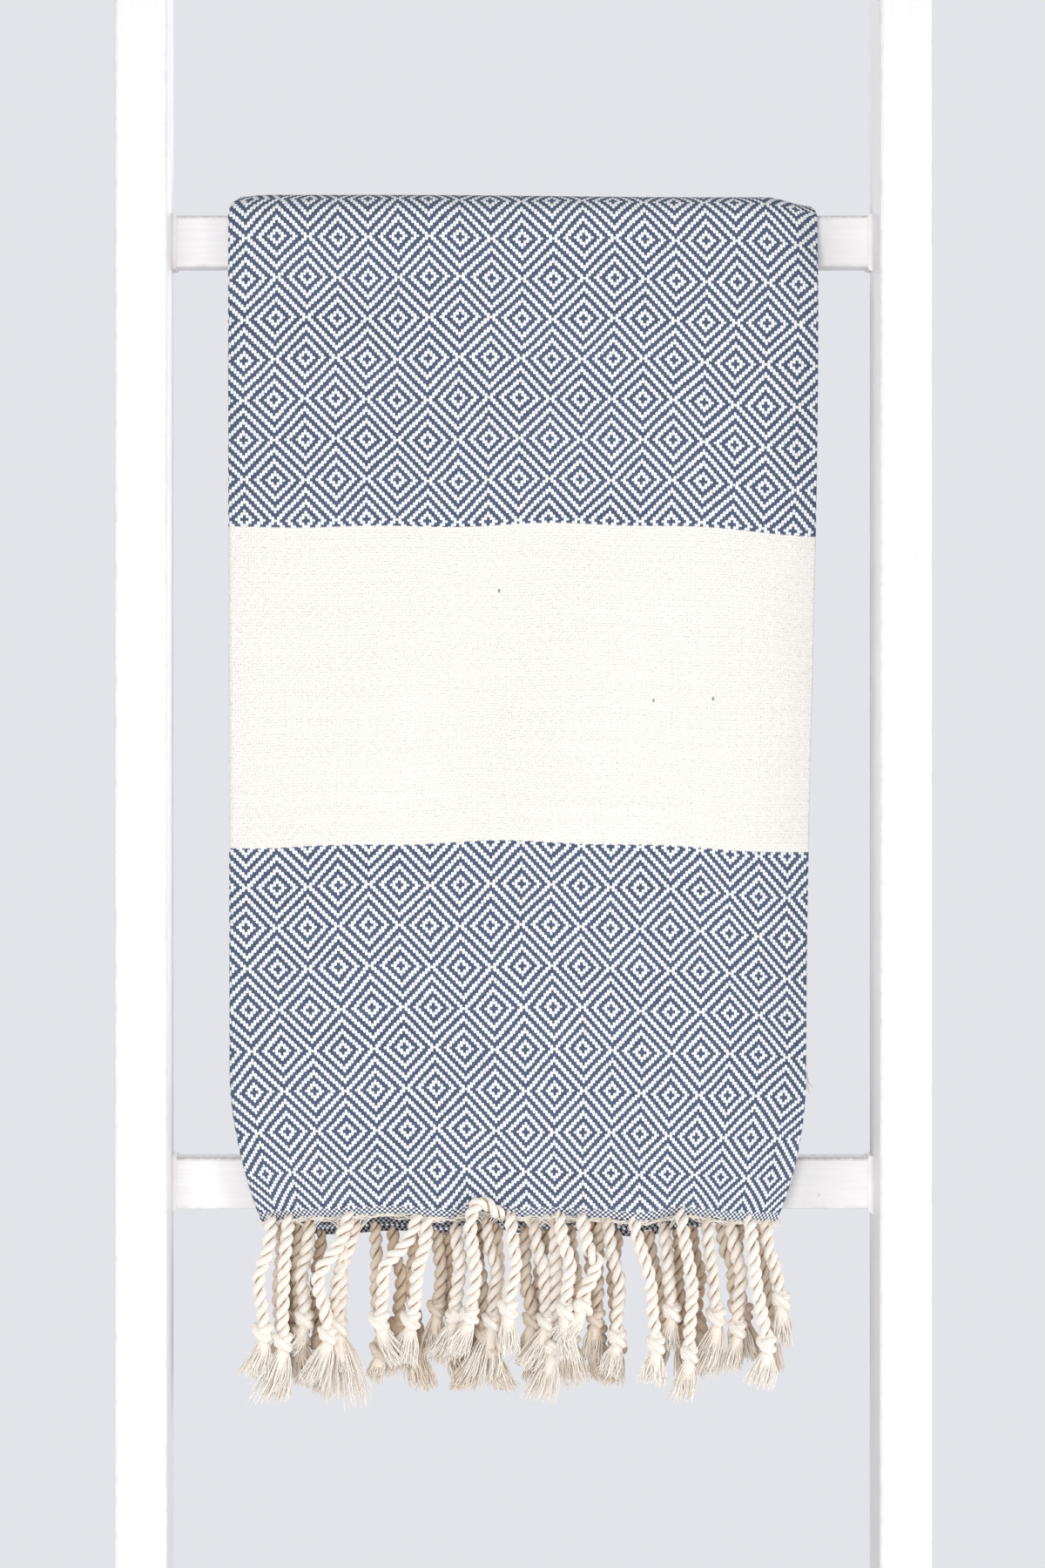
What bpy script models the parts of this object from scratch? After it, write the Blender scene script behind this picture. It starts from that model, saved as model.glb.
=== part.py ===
"""Painted wooden blanket ladder with a fringed cotton throw folded over its top rung.

Metres, +Z up, +X to the right, -Y towards the viewer. The origin is on the floor, below the middle of the
whole object. The ladder stands upright. The throw is folded in four across its width, doubled along its
length and hung over the top rung, so that both of its hems are in front and its long fold is behind.
"""

import math

import bmesh
import bpy
from mathutils import Vector

# Ladder
RACK_HEIGHT = 1.520
RACK_WIDTH = 0.342
RAIL_WIDTH = 0.022
RAIL_DEPTH = 0.045
ARRIS = 0.0015
RUNG_COUNT = 4
RUNG_HEIGHT = 0.022
RUNG_DEPTH = 0.016
FIRST_RUNG_HEIGHT = 0.190
TOP_RUNG_DROP = 0.130
PAD_THICKNESS = 0.003
PAD_MARGIN = 0.002

# Rung joints
PLUG_RADIUS = 0.005
PLUG_LENGTH = 0.005
SCREW_RADIUS = 0.002
SCREW_LENGTH = 0.050
SCREW_TIP = 0.005
SCREW_HEAD_RADIUS = 0.004
SCREW_HEAD_HEIGHT = 0.0027
DOWEL_RADIUS = 0.003
DOWEL_LENGTH = 0.030
DOWEL_IN_RAIL = 0.010
DOWEL_CHAMFER = 0.0006
FASTENER_SPACING = 0.010

# Throw
SIDE_ROOM = 0.024
CLOTH_THICKNESS = 0.00105
WIDTH_LAYERS = 4
FRONT_HANG = 0.434
INNER_HEM_RISE = 0.110
BACK_HANG = 0.398
HEM_INSET = 0.014
HEM_CURL_HEIGHT = 0.060
SIDE_FOLD_ROUNDING = 0.0014

# Fringe
TASSEL_LENGTH = 0.077
ROPE_RADIUS = 0.003
KNOT_RADIUS = 0.0042
KNOT_HEIGHT = 0.009
TUFT_RADIUS = 0.0044
TUFT_LENGTH = 0.019
TASSELS_PER_LAYER = 12
FRINGE_HEADER = 0.003

# Fits
CLEARANCE = 0.0003
CUT_PAST = 0.001
MERGE = 0.00005

# Worked out from the sizes above
RUNG_PITCH = (RACK_HEIGHT - TOP_RUNG_DROP - FIRST_RUNG_HEIGHT) / (RUNG_COUNT - 1)
TOP_RUNG_Z = FIRST_RUNG_HEIGHT + RUNG_PITCH * (RUNG_COUNT - 1)
HALF_STACK = CLOTH_THICKNESS * WIDTH_LAYERS
FULL_STACK = 2 * HALF_STACK + CLEARANCE
BACK_OVERHANG = CLEARANCE + FULL_STACK
RAIL_Y = -BACK_OVERHANG / 2
RAIL_BACK = RAIL_Y + RAIL_DEPTH / 2
RUNG_Y = RAIL_BACK - RUNG_DEPTH / 2
RUNG_FRONT = RAIL_BACK - RUNG_DEPTH
RAIL_X = (RACK_WIDTH - RAIL_WIDTH) / 2
RAIL_INNER_X = RAIL_X - RAIL_WIDTH / 2
RAIL_OUTER_X = RAIL_X + RAIL_WIDTH / 2
FOLDED_WIDTH = 2 * (RAIL_INNER_X - SIDE_ROOM)
FOOT_GAP_Z = PAD_THICKNESS + CLEARANCE
RUNG_TOP_Z = TOP_RUNG_Z + RUNG_HEIGHT / 2
SADDLE_Z = RUNG_TOP_Z + CLEARANCE
SADDLE_TOP_Z = SADDLE_Z + FULL_STACK
INNER_STACK_Y = RUNG_FRONT - CLEARANCE - HALF_STACK / 2
OUTER_STACK_Y = INNER_STACK_Y - HALF_STACK - CLEARANCE
CLOTH_FRONT_Y = OUTER_STACK_Y - HALF_STACK / 2
BACK_STACK_Y = RAIL_BACK + CLEARANCE + FULL_STACK / 2
CLOTH_BACK_Y = BACK_STACK_Y + FULL_STACK / 2
FRONT_HEM_Z = SADDLE_TOP_Z - FRONT_HANG
INNER_HEM_Z = FRONT_HEM_Z + INNER_HEM_RISE
BACK_FOLD_Z = SADDLE_TOP_Z - BACK_HANG
HEM_WIDTH = FOLDED_WIDTH - 2 * HEM_INSET
REAR_ROPES_Y = RUNG_FRONT - CLEARANCE - KNOT_RADIUS
FRONT_ROPES_Y = REAR_ROPES_Y - 2 * KNOT_RADIUS - CLEARANCE
# The tassels start this far below the hem, so that they pass under it when they swing.
FRINGE_TOP_Z = FRONT_HEM_Z - HALF_STACK / 2
# Three of the four layers of tassels hang in the rear plane, so the fringe balances a quarter of the way on.
FRINGE_AXIS_Y = REAR_ROPES_Y + (FRONT_ROPES_Y - REAR_ROPES_Y) / WIDTH_LAYERS


def clear_scene():
    for obj in list(bpy.data.objects):
        bpy.data.objects.remove(obj, do_unlink=True)


def new_collection(name):
    collection = bpy.data.collections.new(name)
    bpy.context.scene.collection.children.link(collection)
    return collection


def finish(name, colour, roughness, metallic=0.0):
    material = bpy.data.materials.new(name)
    material.use_nodes = True
    shader = material.node_tree.nodes["Principled BSDF"]
    shader.inputs["Base Color"].default_value = (*colour, 1.0)
    shader.inputs["Roughness"].default_value = roughness
    shader.inputs["Metallic"].default_value = metallic
    return material


def new_empty(name, location, collection, parent=None):
    empty = bpy.data.objects.new(name, None)
    empty.empty_display_size = 0.05
    collection.objects.link(empty)
    place(empty, location, parent)
    return empty


def place(obj, location, parent=None):
    """Puts an object at a place in the world, also when it hangs on a parent that isn't at the origin."""
    obj.location = Vector(location)
    if parent:
        obj.parent = parent
        above = parent
        while above:
            obj.location -= above.location
            above = above.parent


def add_object(name, data, material, collection, location, parent=None):
    obj = bpy.data.objects.new(name, data)
    if material:
        data.materials.append(material)
    collection.objects.link(obj)
    place(obj, location, parent)
    return obj


def box_mesh(name, size):
    shape = bmesh.new()
    bmesh.ops.create_cube(shape, size=1.0)
    bmesh.ops.scale(shape, vec=Vector(size), verts=shape.verts)
    mesh = bpy.data.meshes.new(name)
    shape.to_mesh(mesh)
    shape.free()
    return mesh


def cylinder_mesh(name, radius, length, sides):
    """A cylinder along X."""
    shape = bmesh.new()
    bmesh.ops.create_cone(shape, cap_ends=True, segments=sides, radius1=radius, radius2=radius, depth=length)
    turn = Vector((0, 0, 1)).rotation_difference(Vector((1, 0, 0))).to_matrix()
    bmesh.ops.rotate(shape, cent=(0, 0, 0), matrix=turn, verts=shape.verts)
    mesh = bpy.data.meshes.new(name)
    shape.to_mesh(mesh)
    shape.free()
    return mesh


def profile_mesh(name, points):
    """An open outline of (radius, height) points, top to bottom, for a Screw modifier."""
    mesh = bpy.data.meshes.new(name)
    corners = [(radius, 0.0, height) for radius, height in points]
    mesh.from_pydata(corners, [(i, i + 1) for i in range(len(corners) - 1)], [])
    return mesh


def turn_profile(obj, steps):
    """Spins the outline round the object's own Z."""
    screw = obj.modifiers.new("Turn", "SCREW")
    screw.axis = "Z"
    screw.steps = steps
    screw.render_steps = steps
    screw.use_merge_vertices = True
    screw.merge_threshold = MERGE
    screw.use_smooth_shade = True


def round_edges(obj, width, segments=2):
    bevel = obj.modifiers.new("Round", "BEVEL")
    bevel.width = width
    bevel.segments = segments
    bevel.limit_method = "ANGLE"
    bevel.angle_limit = math.radians(40)


def plate_curve(name, outline, thickness):
    """A closed outline in local XY, filled and given half its thickness each way along local Z."""
    curve = bpy.data.curves.new(name, "CURVE")
    curve.dimensions = "2D"
    curve.fill_mode = "BOTH"
    curve.extrude = thickness / 2
    spline = curve.splines.new("POLY")
    spline.points.add(len(outline) - 1)
    for point, (across, up) in zip(spline.points, outline):
        point.co = (across, up, 0.0, 1.0)
    spline.use_cyclic_u = True
    return curve


def stand_plate(obj):
    """Turns a plate up so that its outline is seen from the front."""
    obj.rotation_euler = (math.pi / 2, 0, 0)


def weld_plate(obj):
    weld = obj.modifiers.new("Weld", "WELD")
    weld.merge_threshold = MERGE


def drill(obj, cutters):
    """Cuts all the holes of a piece at once, and returns the collection that their cutters go in."""
    holes = bpy.data.collections.new(f"{obj.name}_holes")
    cutters.children.link(holes)
    boolean = obj.modifiers.new("Holes", "BOOLEAN")
    boolean.operation = "DIFFERENCE"
    boolean.solver = "EXACT"
    boolean.operand_type = "COLLECTION"
    boolean.collection = holes
    return holes


def hide_cutter(obj):
    obj.hide_render = True
    obj.display_type = "WIRE"


def rung_height(number):
    return FIRST_RUNG_HEIGHT + RUNG_PITCH * (number - 1)


def screw_outline(clearance, past):
    """Half outline of the screw, or of its hole with its plug bore, from the tip up to the rail's outer face.

    The heights are measured inwards from that face, so the tip is the lowest point.
    """
    head_seat = -(PLUG_LENGTH + CLEARANCE + SCREW_HEAD_HEIGHT)
    tip = head_seat - SCREW_LENGTH
    if past:
        top = past
        head_radius = PLUG_RADIUS
        head_seat -= clearance
    else:
        top = head_seat + SCREW_HEAD_HEIGHT
        head_radius = SCREW_HEAD_RADIUS
    return [
        (0.0, top),
        (head_radius + clearance, top),
        (head_radius + clearance, head_seat),
        (SCREW_RADIUS + clearance, head_seat),
        (SCREW_RADIUS + clearance, tip + SCREW_TIP),
        (0.0, tip - clearance),
    ]


def face_outwards(obj, side):
    """Lays a turned piece along X, its top towards the ladder's outside."""
    obj.rotation_euler = (0, side * math.pi / 2, 0)


def make_ladder(collection, cutters, finishes):
    """The two rails, the rungs with their screws, dowels and plugs, and the pads under the feet."""
    sides = {"left": -1, "right": 1}
    rung_holes = {}
    rung_length = 2 * RAIL_INNER_X - 2 * CLEARANCE
    for number in range(1, RUNG_COUNT + 1):
        name = f"rung_{number}"
        mesh = box_mesh(name, (rung_length, RUNG_DEPTH, RUNG_HEIGHT))
        place_at = (0, RUNG_Y, rung_height(number))
        rung = add_object(name, mesh, finishes["rung"], collection, place_at)
        round_edges(rung, ARRIS)
        rung_holes[number] = drill(rung, cutters)
    for side_name, side in sides.items():
        rail_height = RACK_HEIGHT - FOOT_GAP_Z
        mesh = box_mesh(f"{side_name}_rail", (RAIL_WIDTH, RAIL_DEPTH, rail_height))
        place_at = (side * RAIL_X, RAIL_Y, FOOT_GAP_Z + rail_height / 2)
        rail = add_object(f"{side_name}_rail", mesh, finishes["rail"], collection, place_at)
        round_edges(rail, ARRIS)
        rail_holes = drill(rail, cutters)
        pad_size = (RAIL_WIDTH - 2 * PAD_MARGIN, RAIL_DEPTH - 2 * PAD_MARGIN, PAD_THICKNESS)
        pad_mesh = box_mesh(f"{side_name}_foot_pad", pad_size)
        pad_at = (side * RAIL_X, RAIL_Y, PAD_THICKNESS / 2)
        add_object(f"{side_name}_foot_pad", pad_mesh, finishes["pad"], collection, pad_at)
        for number, holes in rung_holes.items():
            make_rung_joint(side_name, side, number, (rail_holes, holes), collection, finishes)


def make_rung_joint(side_name, side, number, drilled, collection, finishes):
    """One screw with the plug that hides its head, and above it one dowel that keeps the rung from turning."""
    screw_z = rung_height(number) - FASTENER_SPACING / 2
    dowel_z = rung_height(number) + FASTENER_SPACING / 2
    end = f"{number}_{side_name}"
    face_at = (side * RAIL_OUTER_X, RUNG_Y, screw_z)

    bore_mesh = profile_mesh(f"screw_bore_{end}", screw_outline(CLEARANCE, CUT_PAST))
    bore = add_object(f"screw_bore_{end}", bore_mesh, None, drilled[0], face_at)
    turn_profile(bore, 16)
    face_outwards(bore, side)
    hide_cutter(bore)

    screw_mesh = profile_mesh(f"screw_{end}", screw_outline(0.0, 0.0))
    screw = add_object(f"screw_{end}", screw_mesh, finishes["screw"], collection, face_at)
    turn_profile(screw, 12)
    face_outwards(screw, side)

    plug_mesh = cylinder_mesh(f"plug_{end}", PLUG_RADIUS, PLUG_LENGTH, 20)
    plug_at = (side * (RAIL_OUTER_X - PLUG_LENGTH / 2), RUNG_Y, screw_z)
    add_object(f"plug_{end}", plug_mesh, finishes["plug"], collection, plug_at)

    dowel_middle = RAIL_INNER_X + DOWEL_IN_RAIL - DOWEL_LENGTH / 2
    dowel_at = (side * dowel_middle, RUNG_Y, dowel_z)
    dowel_mesh = cylinder_mesh(f"dowel_{end}", DOWEL_RADIUS, DOWEL_LENGTH, 14)
    dowel = add_object(f"dowel_{end}", dowel_mesh, finishes["dowel"], collection, dowel_at)
    round_edges(dowel, DOWEL_CHAMFER, 1)

    hole_size = (DOWEL_RADIUS + CLEARANCE, DOWEL_LENGTH + 2 * CLEARANCE)
    hole_mesh = cylinder_mesh(f"dowel_bore_{end}", *hole_size, 14)
    hole = add_object(f"dowel_bore_{end}", hole_mesh, None, drilled[0], dowel_at)
    hide_cutter(hole)

    drilled[1].objects.link(bore)
    drilled[1].objects.link(hole)


def saddle_outline():
    """Cross-section of the folds over the rung: flat below, with quarter-round shoulders above."""
    front = CLOTH_FRONT_Y
    back = CLOTH_BACK_Y
    radius = FULL_STACK * 0.85
    points = [(front, 0.0), (front, FULL_STACK - radius)]
    for step in range(1, 6):
        angle = math.pi / 2 * step / 6
        points.append(
            (front + radius - radius * math.cos(angle), FULL_STACK - radius + radius * math.sin(angle))
        )
    points.append((front + radius, FULL_STACK))
    mirrored = [(front + back - across, up) for across, up in reversed(points)]
    return points + mirrored


def front_outline():
    """The outer front panel, whose lower corners are drawn in where the folded edges curl."""
    half = FOLDED_WIDTH / 2
    hem_half = HEM_WIDTH / 2
    height = SADDLE_Z - CLEARANCE - FRONT_HEM_Z
    return [
        (-hem_half, 0.0),
        (hem_half, 0.0),
        (half - HEM_INSET / 4, HEM_CURL_HEIGHT / 2),
        (half, HEM_CURL_HEIGHT),
        (half, height),
        (-half, height),
        (-half, HEM_CURL_HEIGHT),
        (-half + HEM_INSET / 4, HEM_CURL_HEIGHT / 2),
    ]


def tassel_profile(top):
    """(radius, height) points of one tassel: a rope, its knot and the splayed tuft below."""
    bottom = top - TASSEL_LENGTH
    knot_low = bottom + TUFT_LENGTH
    knot_high = knot_low + KNOT_HEIGHT
    return [
        (ROPE_RADIUS * 0.8, top),
        (ROPE_RADIUS, top - ROPE_RADIUS),
        (ROPE_RADIUS, knot_high),
        (KNOT_RADIUS, knot_high - KNOT_HEIGHT * 0.3),
        (KNOT_RADIUS, knot_low + KNOT_HEIGHT * 0.3),
        (ROPE_RADIUS, knot_low),
        (TUFT_RADIUS, bottom + TUFT_LENGTH * 0.25),
        (TUFT_RADIUS * 0.8, bottom),
    ]


def fringe_outline(width, count):
    """A row of tassels under one strip. Each has as much room as its neighbours leave it."""
    pitch = width / count
    widest = (pitch - 2 * CLEARANCE) / 2
    points = [(-width / 2, 0.0)]
    for number in range(count):
        middle = -width / 2 + pitch * (number + 0.5)
        profile = [(min(radius, widest), height) for radius, height in tassel_profile(0.0)[2:]]
        narrow = min(ROPE_RADIUS, widest)
        points.append((middle - narrow, -FRINGE_HEADER))
        points.extend((middle - radius, height) for radius, height in profile)
        points.extend((middle + radius, height) for radius, height in reversed(profile))
        points.append((middle + narrow, -FRINGE_HEADER))
    points.append((width / 2, 0.0))
    # The strip's ends stand straight up, so its top corners come last and first.
    points.insert(1, (-width / 2, -FRINGE_HEADER))
    points.insert(-1, (width / 2, -FRINGE_HEADER))
    return points


def make_throw(collection, finishes, lift):
    """The folded cloth as plain closed solids: the folds over the rung, two front stacks and the back stack."""
    saddle = add_object(
        "throw_over_rung",
        plate_curve("throw_over_rung", saddle_outline(), FOLDED_WIDTH),
        finishes["cloth"],
        collection,
        (0, 0, SADDLE_Z),
        lift,
    )
    saddle.rotation_euler = (math.pi / 2, 0, math.pi / 2)
    weld_plate(saddle)

    front = add_object(
        "throw_front_outer",
        plate_curve("throw_front_outer", front_outline(), HALF_STACK),
        finishes["cloth"],
        collection,
        (0, OUTER_STACK_Y, FRONT_HEM_Z),
        lift,
    )
    stand_plate(front)
    weld_plate(front)
    round_edges(front, SIDE_FOLD_ROUNDING)

    inner_height = SADDLE_Z - CLEARANCE - INNER_HEM_Z
    inner = add_object(
        "throw_front_inner",
        box_mesh("throw_front_inner", (FOLDED_WIDTH, HALF_STACK, inner_height)),
        finishes["cloth"],
        collection,
        (0, INNER_STACK_Y, INNER_HEM_Z + inner_height / 2),
        lift,
    )
    round_edges(inner, SIDE_FOLD_ROUNDING)

    back_height = SADDLE_Z - CLEARANCE - BACK_FOLD_Z
    back = add_object(
        "throw_back",
        box_mesh("throw_back", (FOLDED_WIDTH, FULL_STACK, back_height)),
        finishes["cloth"],
        collection,
        (0, BACK_STACK_Y, BACK_FOLD_Z + back_height / 2),
        lift,
    )
    round_edges(back, 2 * SIDE_FOLD_ROUNDING)


def make_fringe(collection, finishes, lift, swing):
    """The tassels of the front hem, which swing, and those of the inner hem, which lie between the stacks."""
    profile = tassel_profile(0.0)
    closed = [(0.0, profile[0][1]), *profile, (0.0, profile[-1][1])]
    pitch = HEM_WIDTH / TASSELS_PER_LAYER
    for number in range(1, TASSELS_PER_LAYER + 1):
        name = f"tassel_{number:02d}"
        across = -HEM_WIDTH / 2 + pitch * (number - 0.5)
        place_at = (across, FRONT_ROPES_Y, FRINGE_TOP_Z)
        tassel = add_object(
            name, profile_mesh(name, closed), finishes["cotton"], collection, place_at, swing
        )
        turn_profile(tassel, 10)

    hidden_rows = WIDTH_LAYERS - 1
    rear = add_object(
        "fringe_rear_rows",
        plate_curve(
            "fringe_rear_rows",
            fringe_outline(HEM_WIDTH, TASSELS_PER_LAYER * hidden_rows),
            2 * ROPE_RADIUS,
        ),
        finishes["cotton"],
        collection,
        (0, REAR_ROPES_Y, FRINGE_TOP_Z),
        swing,
    )
    stand_plate(rear)
    weld_plate(rear)

    inner = add_object(
        "inner_fringe",
        plate_curve(
            "inner_fringe",
            fringe_outline(FOLDED_WIDTH, TASSELS_PER_LAYER * hidden_rows),
            HALF_STACK - CLEARANCE,
        ),
        finishes["cotton"],
        collection,
        (0, INNER_STACK_Y, INNER_HEM_Z - CLEARANCE),
        lift,
    )
    stand_plate(inner)
    weld_plate(inner)


def main():
    clear_scene()
    collection = new_collection("Blanket ladder with throw")
    cutters = new_collection("Cutters")
    white = (0.87, 0.86, 0.84)
    finishes = {
        "rail": finish("rail_paint", white, 0.45),
        "rung": finish("rung_paint", (0.88, 0.87, 0.85), 0.5),
        "plug": finish("plug_paint", (0.85, 0.84, 0.82), 0.5),
        "screw": finish("screw_steel", (0.55, 0.55, 0.56), 0.35, 1.0),
        "dowel": finish("dowel_beech", (0.62, 0.45, 0.28), 0.7),
        "pad": finish("pad_rubber", (0.12, 0.12, 0.12), 0.8),
        "cloth": finish("cloth_blue_white", (0.38, 0.45, 0.57), 0.95),
        "cotton": finish("fringe_cotton", (0.85, 0.78, 0.68), 0.95),
    }
    make_ladder(collection, cutters, finishes)
    lift = new_empty("throw_lift", (0, RUNG_Y, SADDLE_Z), collection)
    swing = new_empty("fringe_swing", (0, FRINGE_AXIS_Y, FRONT_HEM_Z), collection, lift)
    make_throw(collection, finishes, lift)
    make_fringe(collection, finishes, lift, swing)


main()
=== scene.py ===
"""Looks of a white-painted blanket ladder with a fringed, diamond-woven cotton throw folded over its top rung.

Metres, in the ladder's own frame: +Z up, +X to the right, -Y towards the viewer.
"""

import math

import bmesh
import bpy
import numpy as np
from mathutils import Matrix, Vector


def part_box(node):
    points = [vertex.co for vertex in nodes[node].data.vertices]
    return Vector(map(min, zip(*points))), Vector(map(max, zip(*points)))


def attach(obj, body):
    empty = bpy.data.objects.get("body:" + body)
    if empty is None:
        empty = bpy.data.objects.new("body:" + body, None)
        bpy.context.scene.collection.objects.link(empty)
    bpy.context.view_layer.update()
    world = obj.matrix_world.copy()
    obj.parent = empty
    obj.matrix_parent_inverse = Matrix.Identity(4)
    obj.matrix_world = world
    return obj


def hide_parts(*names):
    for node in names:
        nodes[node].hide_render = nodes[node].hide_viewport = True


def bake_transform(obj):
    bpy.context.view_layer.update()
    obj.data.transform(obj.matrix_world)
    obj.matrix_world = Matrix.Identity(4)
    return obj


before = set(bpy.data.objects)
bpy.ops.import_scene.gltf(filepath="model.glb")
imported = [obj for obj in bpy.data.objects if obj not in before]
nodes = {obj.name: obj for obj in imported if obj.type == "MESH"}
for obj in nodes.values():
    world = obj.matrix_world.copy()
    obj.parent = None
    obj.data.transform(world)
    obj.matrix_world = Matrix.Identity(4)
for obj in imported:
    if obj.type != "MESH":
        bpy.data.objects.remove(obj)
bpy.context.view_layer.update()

# Sizes read from the ladder and the plain throw
RUNG_LOW, RUNG_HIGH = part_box("rung_4")
RUNG_3_LOW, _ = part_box("rung_3")
RUNG_1_LOW, RUNG_1_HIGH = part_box("rung_1")
RAIL_LOW, RAIL_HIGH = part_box("right_rail")
OUTER_LOW, OUTER_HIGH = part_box("throw_front_outer")
INNER_LOW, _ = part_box("throw_front_inner")
BACK_LOW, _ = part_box("throw_back")
SADDLE_LOW, SADDLE_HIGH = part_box("throw_over_rung")
FRINGE_LOW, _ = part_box("fringe_rear_rows")

# Cloth: the air left above the stack, the room of one layer in it, the cloth's own thickness, and the rung
# inside its folds
STACK_CLEARANCE = 0.0003
LAYER = (SADDLE_HIGH.z - SADDLE_LOW.z - STACK_CLEARANCE) / 8
CLOTH = 0.00074
ARRIS = 0.0015
CORE_FRONT = RUNG_LOW.y + ARRIS
CORE_BACK = RUNG_HIGH.y - ARRIS
CORE_TOP = RUNG_HIGH.z - ARRIS
MIDDLE = (OUTER_HIGH.y + INNER_LOW.y) / 2
REACH = CORE_FRONT - MIDDLE
GAP = 0.00015
HEM_Z = OUTER_LOW.z + 0.0010
INNER_HEM_Z = INNER_LOW.z
BACK_FOLD_Z = BACK_LOW.z
HALF_WIDTH = OUTER_HIGH.x

# Weave: the room of one warp end and one weft pick, half a diamond in ends and picks, where the diamonds start,
# and the cream band's and the hem strips' distances from the hem
END = 0.001188
PICK = 0.001223
DIAMOND_ENDS = 11.0
DIAMOND_PICKS = 14.0
DRAFT_ACROSS = -0.00648
DRAFT_ALONG = -0.00342
BAND_START = 0.1580
BAND_END = 0.2925
HEM_STRIP = 0.0034
REVERSE_STRIP = 0.0062
# How far the threads have drifted from a straight grid, in millimetres, at these heights and places across.
DRIFT_Z = (1.0125, 1.0493, 1.0677, 1.1045, 1.2959, 1.3437, 1.3787)
DRIFT_X = (-0.0957, -0.0479, 0.0, 0.0478, 0.0920)
DRIFT_SIDEWAYS = (
    (11.0, 11.4, 9.6, 6.1, 3.9),
    (11.0, 10.9, 9.6, 6.8, 6.2),
    (10.1, 10.7, 9.4, 6.2, 6.2),
    (8.5, 7.7, 6.6, 4.6, 4.4),
    (7.7, 7.5, 6.6, 6.1, 5.9),
    (8.8, 8.1, 7.7, 6.8, 6.1),
    (8.3, 6.8, 6.8, 6.6, 6.1),
)
DRIFT_DOWN = (
    (1.5, 1.7, 1.7, 2.2, 2.9),
    (1.5, 1.5, 1.1, 1.5, 2.2),
    (0.9, 1.3, 0.9, 1.1, 2.4),
    (0.0, 0.2, 1.1, 1.1, 2.2),
    (-0.4, 0.0, 1.1, 0.7, 0.4),
    (0.0, 0.4, 0.9, 0.9, 0.2),
    (0.2, 0.7, 0.9, 1.1, 0.9),
)


def smooth(low, high, value):
    """0 below low, 1 above high, with an eased rise between them."""
    t = np.clip((np.asarray(value, float) - low) / (high - low), 0.0, 1.0)
    return t * t * (3 - 2 * t)


def lengths_along(path):
    """The distance from the start of a path to each of its points."""
    return np.concatenate([[0.0], np.cumsum(np.linalg.norm(np.diff(path, axis=0), axis=1))])


def directions(path):
    along = np.gradient(path, axis=0)
    return along / np.linalg.norm(along, axis=1)[:, None]


def drift(table, x, z):
    """Reads a drift table at every point, in metres."""
    table = np.asarray(table) / 1000
    across = np.array([[np.interp(value, DRIFT_X, row) for row in table] for value in x.ravel()])
    row = np.clip(np.interp(z.ravel(), DRIFT_Z, np.arange(len(DRIFT_Z))), 0, len(DRIFT_Z) - 1.001)
    low = row.astype(int)
    part = row - low
    picked = np.arange(len(row))
    return (across[picked, low] * (1 - part) + across[picked, low + 1] * part).reshape(x.shape)


# ---------------------------------------------------------------- shader helpers


def new_group(name, inputs, outputs):
    """A shader node group with (name, kind, value) inputs and (name, kind) outputs, and its sockets inside."""
    group = bpy.data.node_groups.new(name, "ShaderNodeTree")
    for label, kind, value in inputs:
        socket = group.interface.new_socket(label, in_out="INPUT", socket_type=f"NodeSocket{kind}")
        socket.default_value = value
    for label, kind in outputs:
        group.interface.new_socket(label, in_out="OUTPUT", socket_type=f"NodeSocket{kind}")
    return group, group.nodes.new("NodeGroupInput").outputs, group.nodes.new("NodeGroupOutput").inputs


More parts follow.
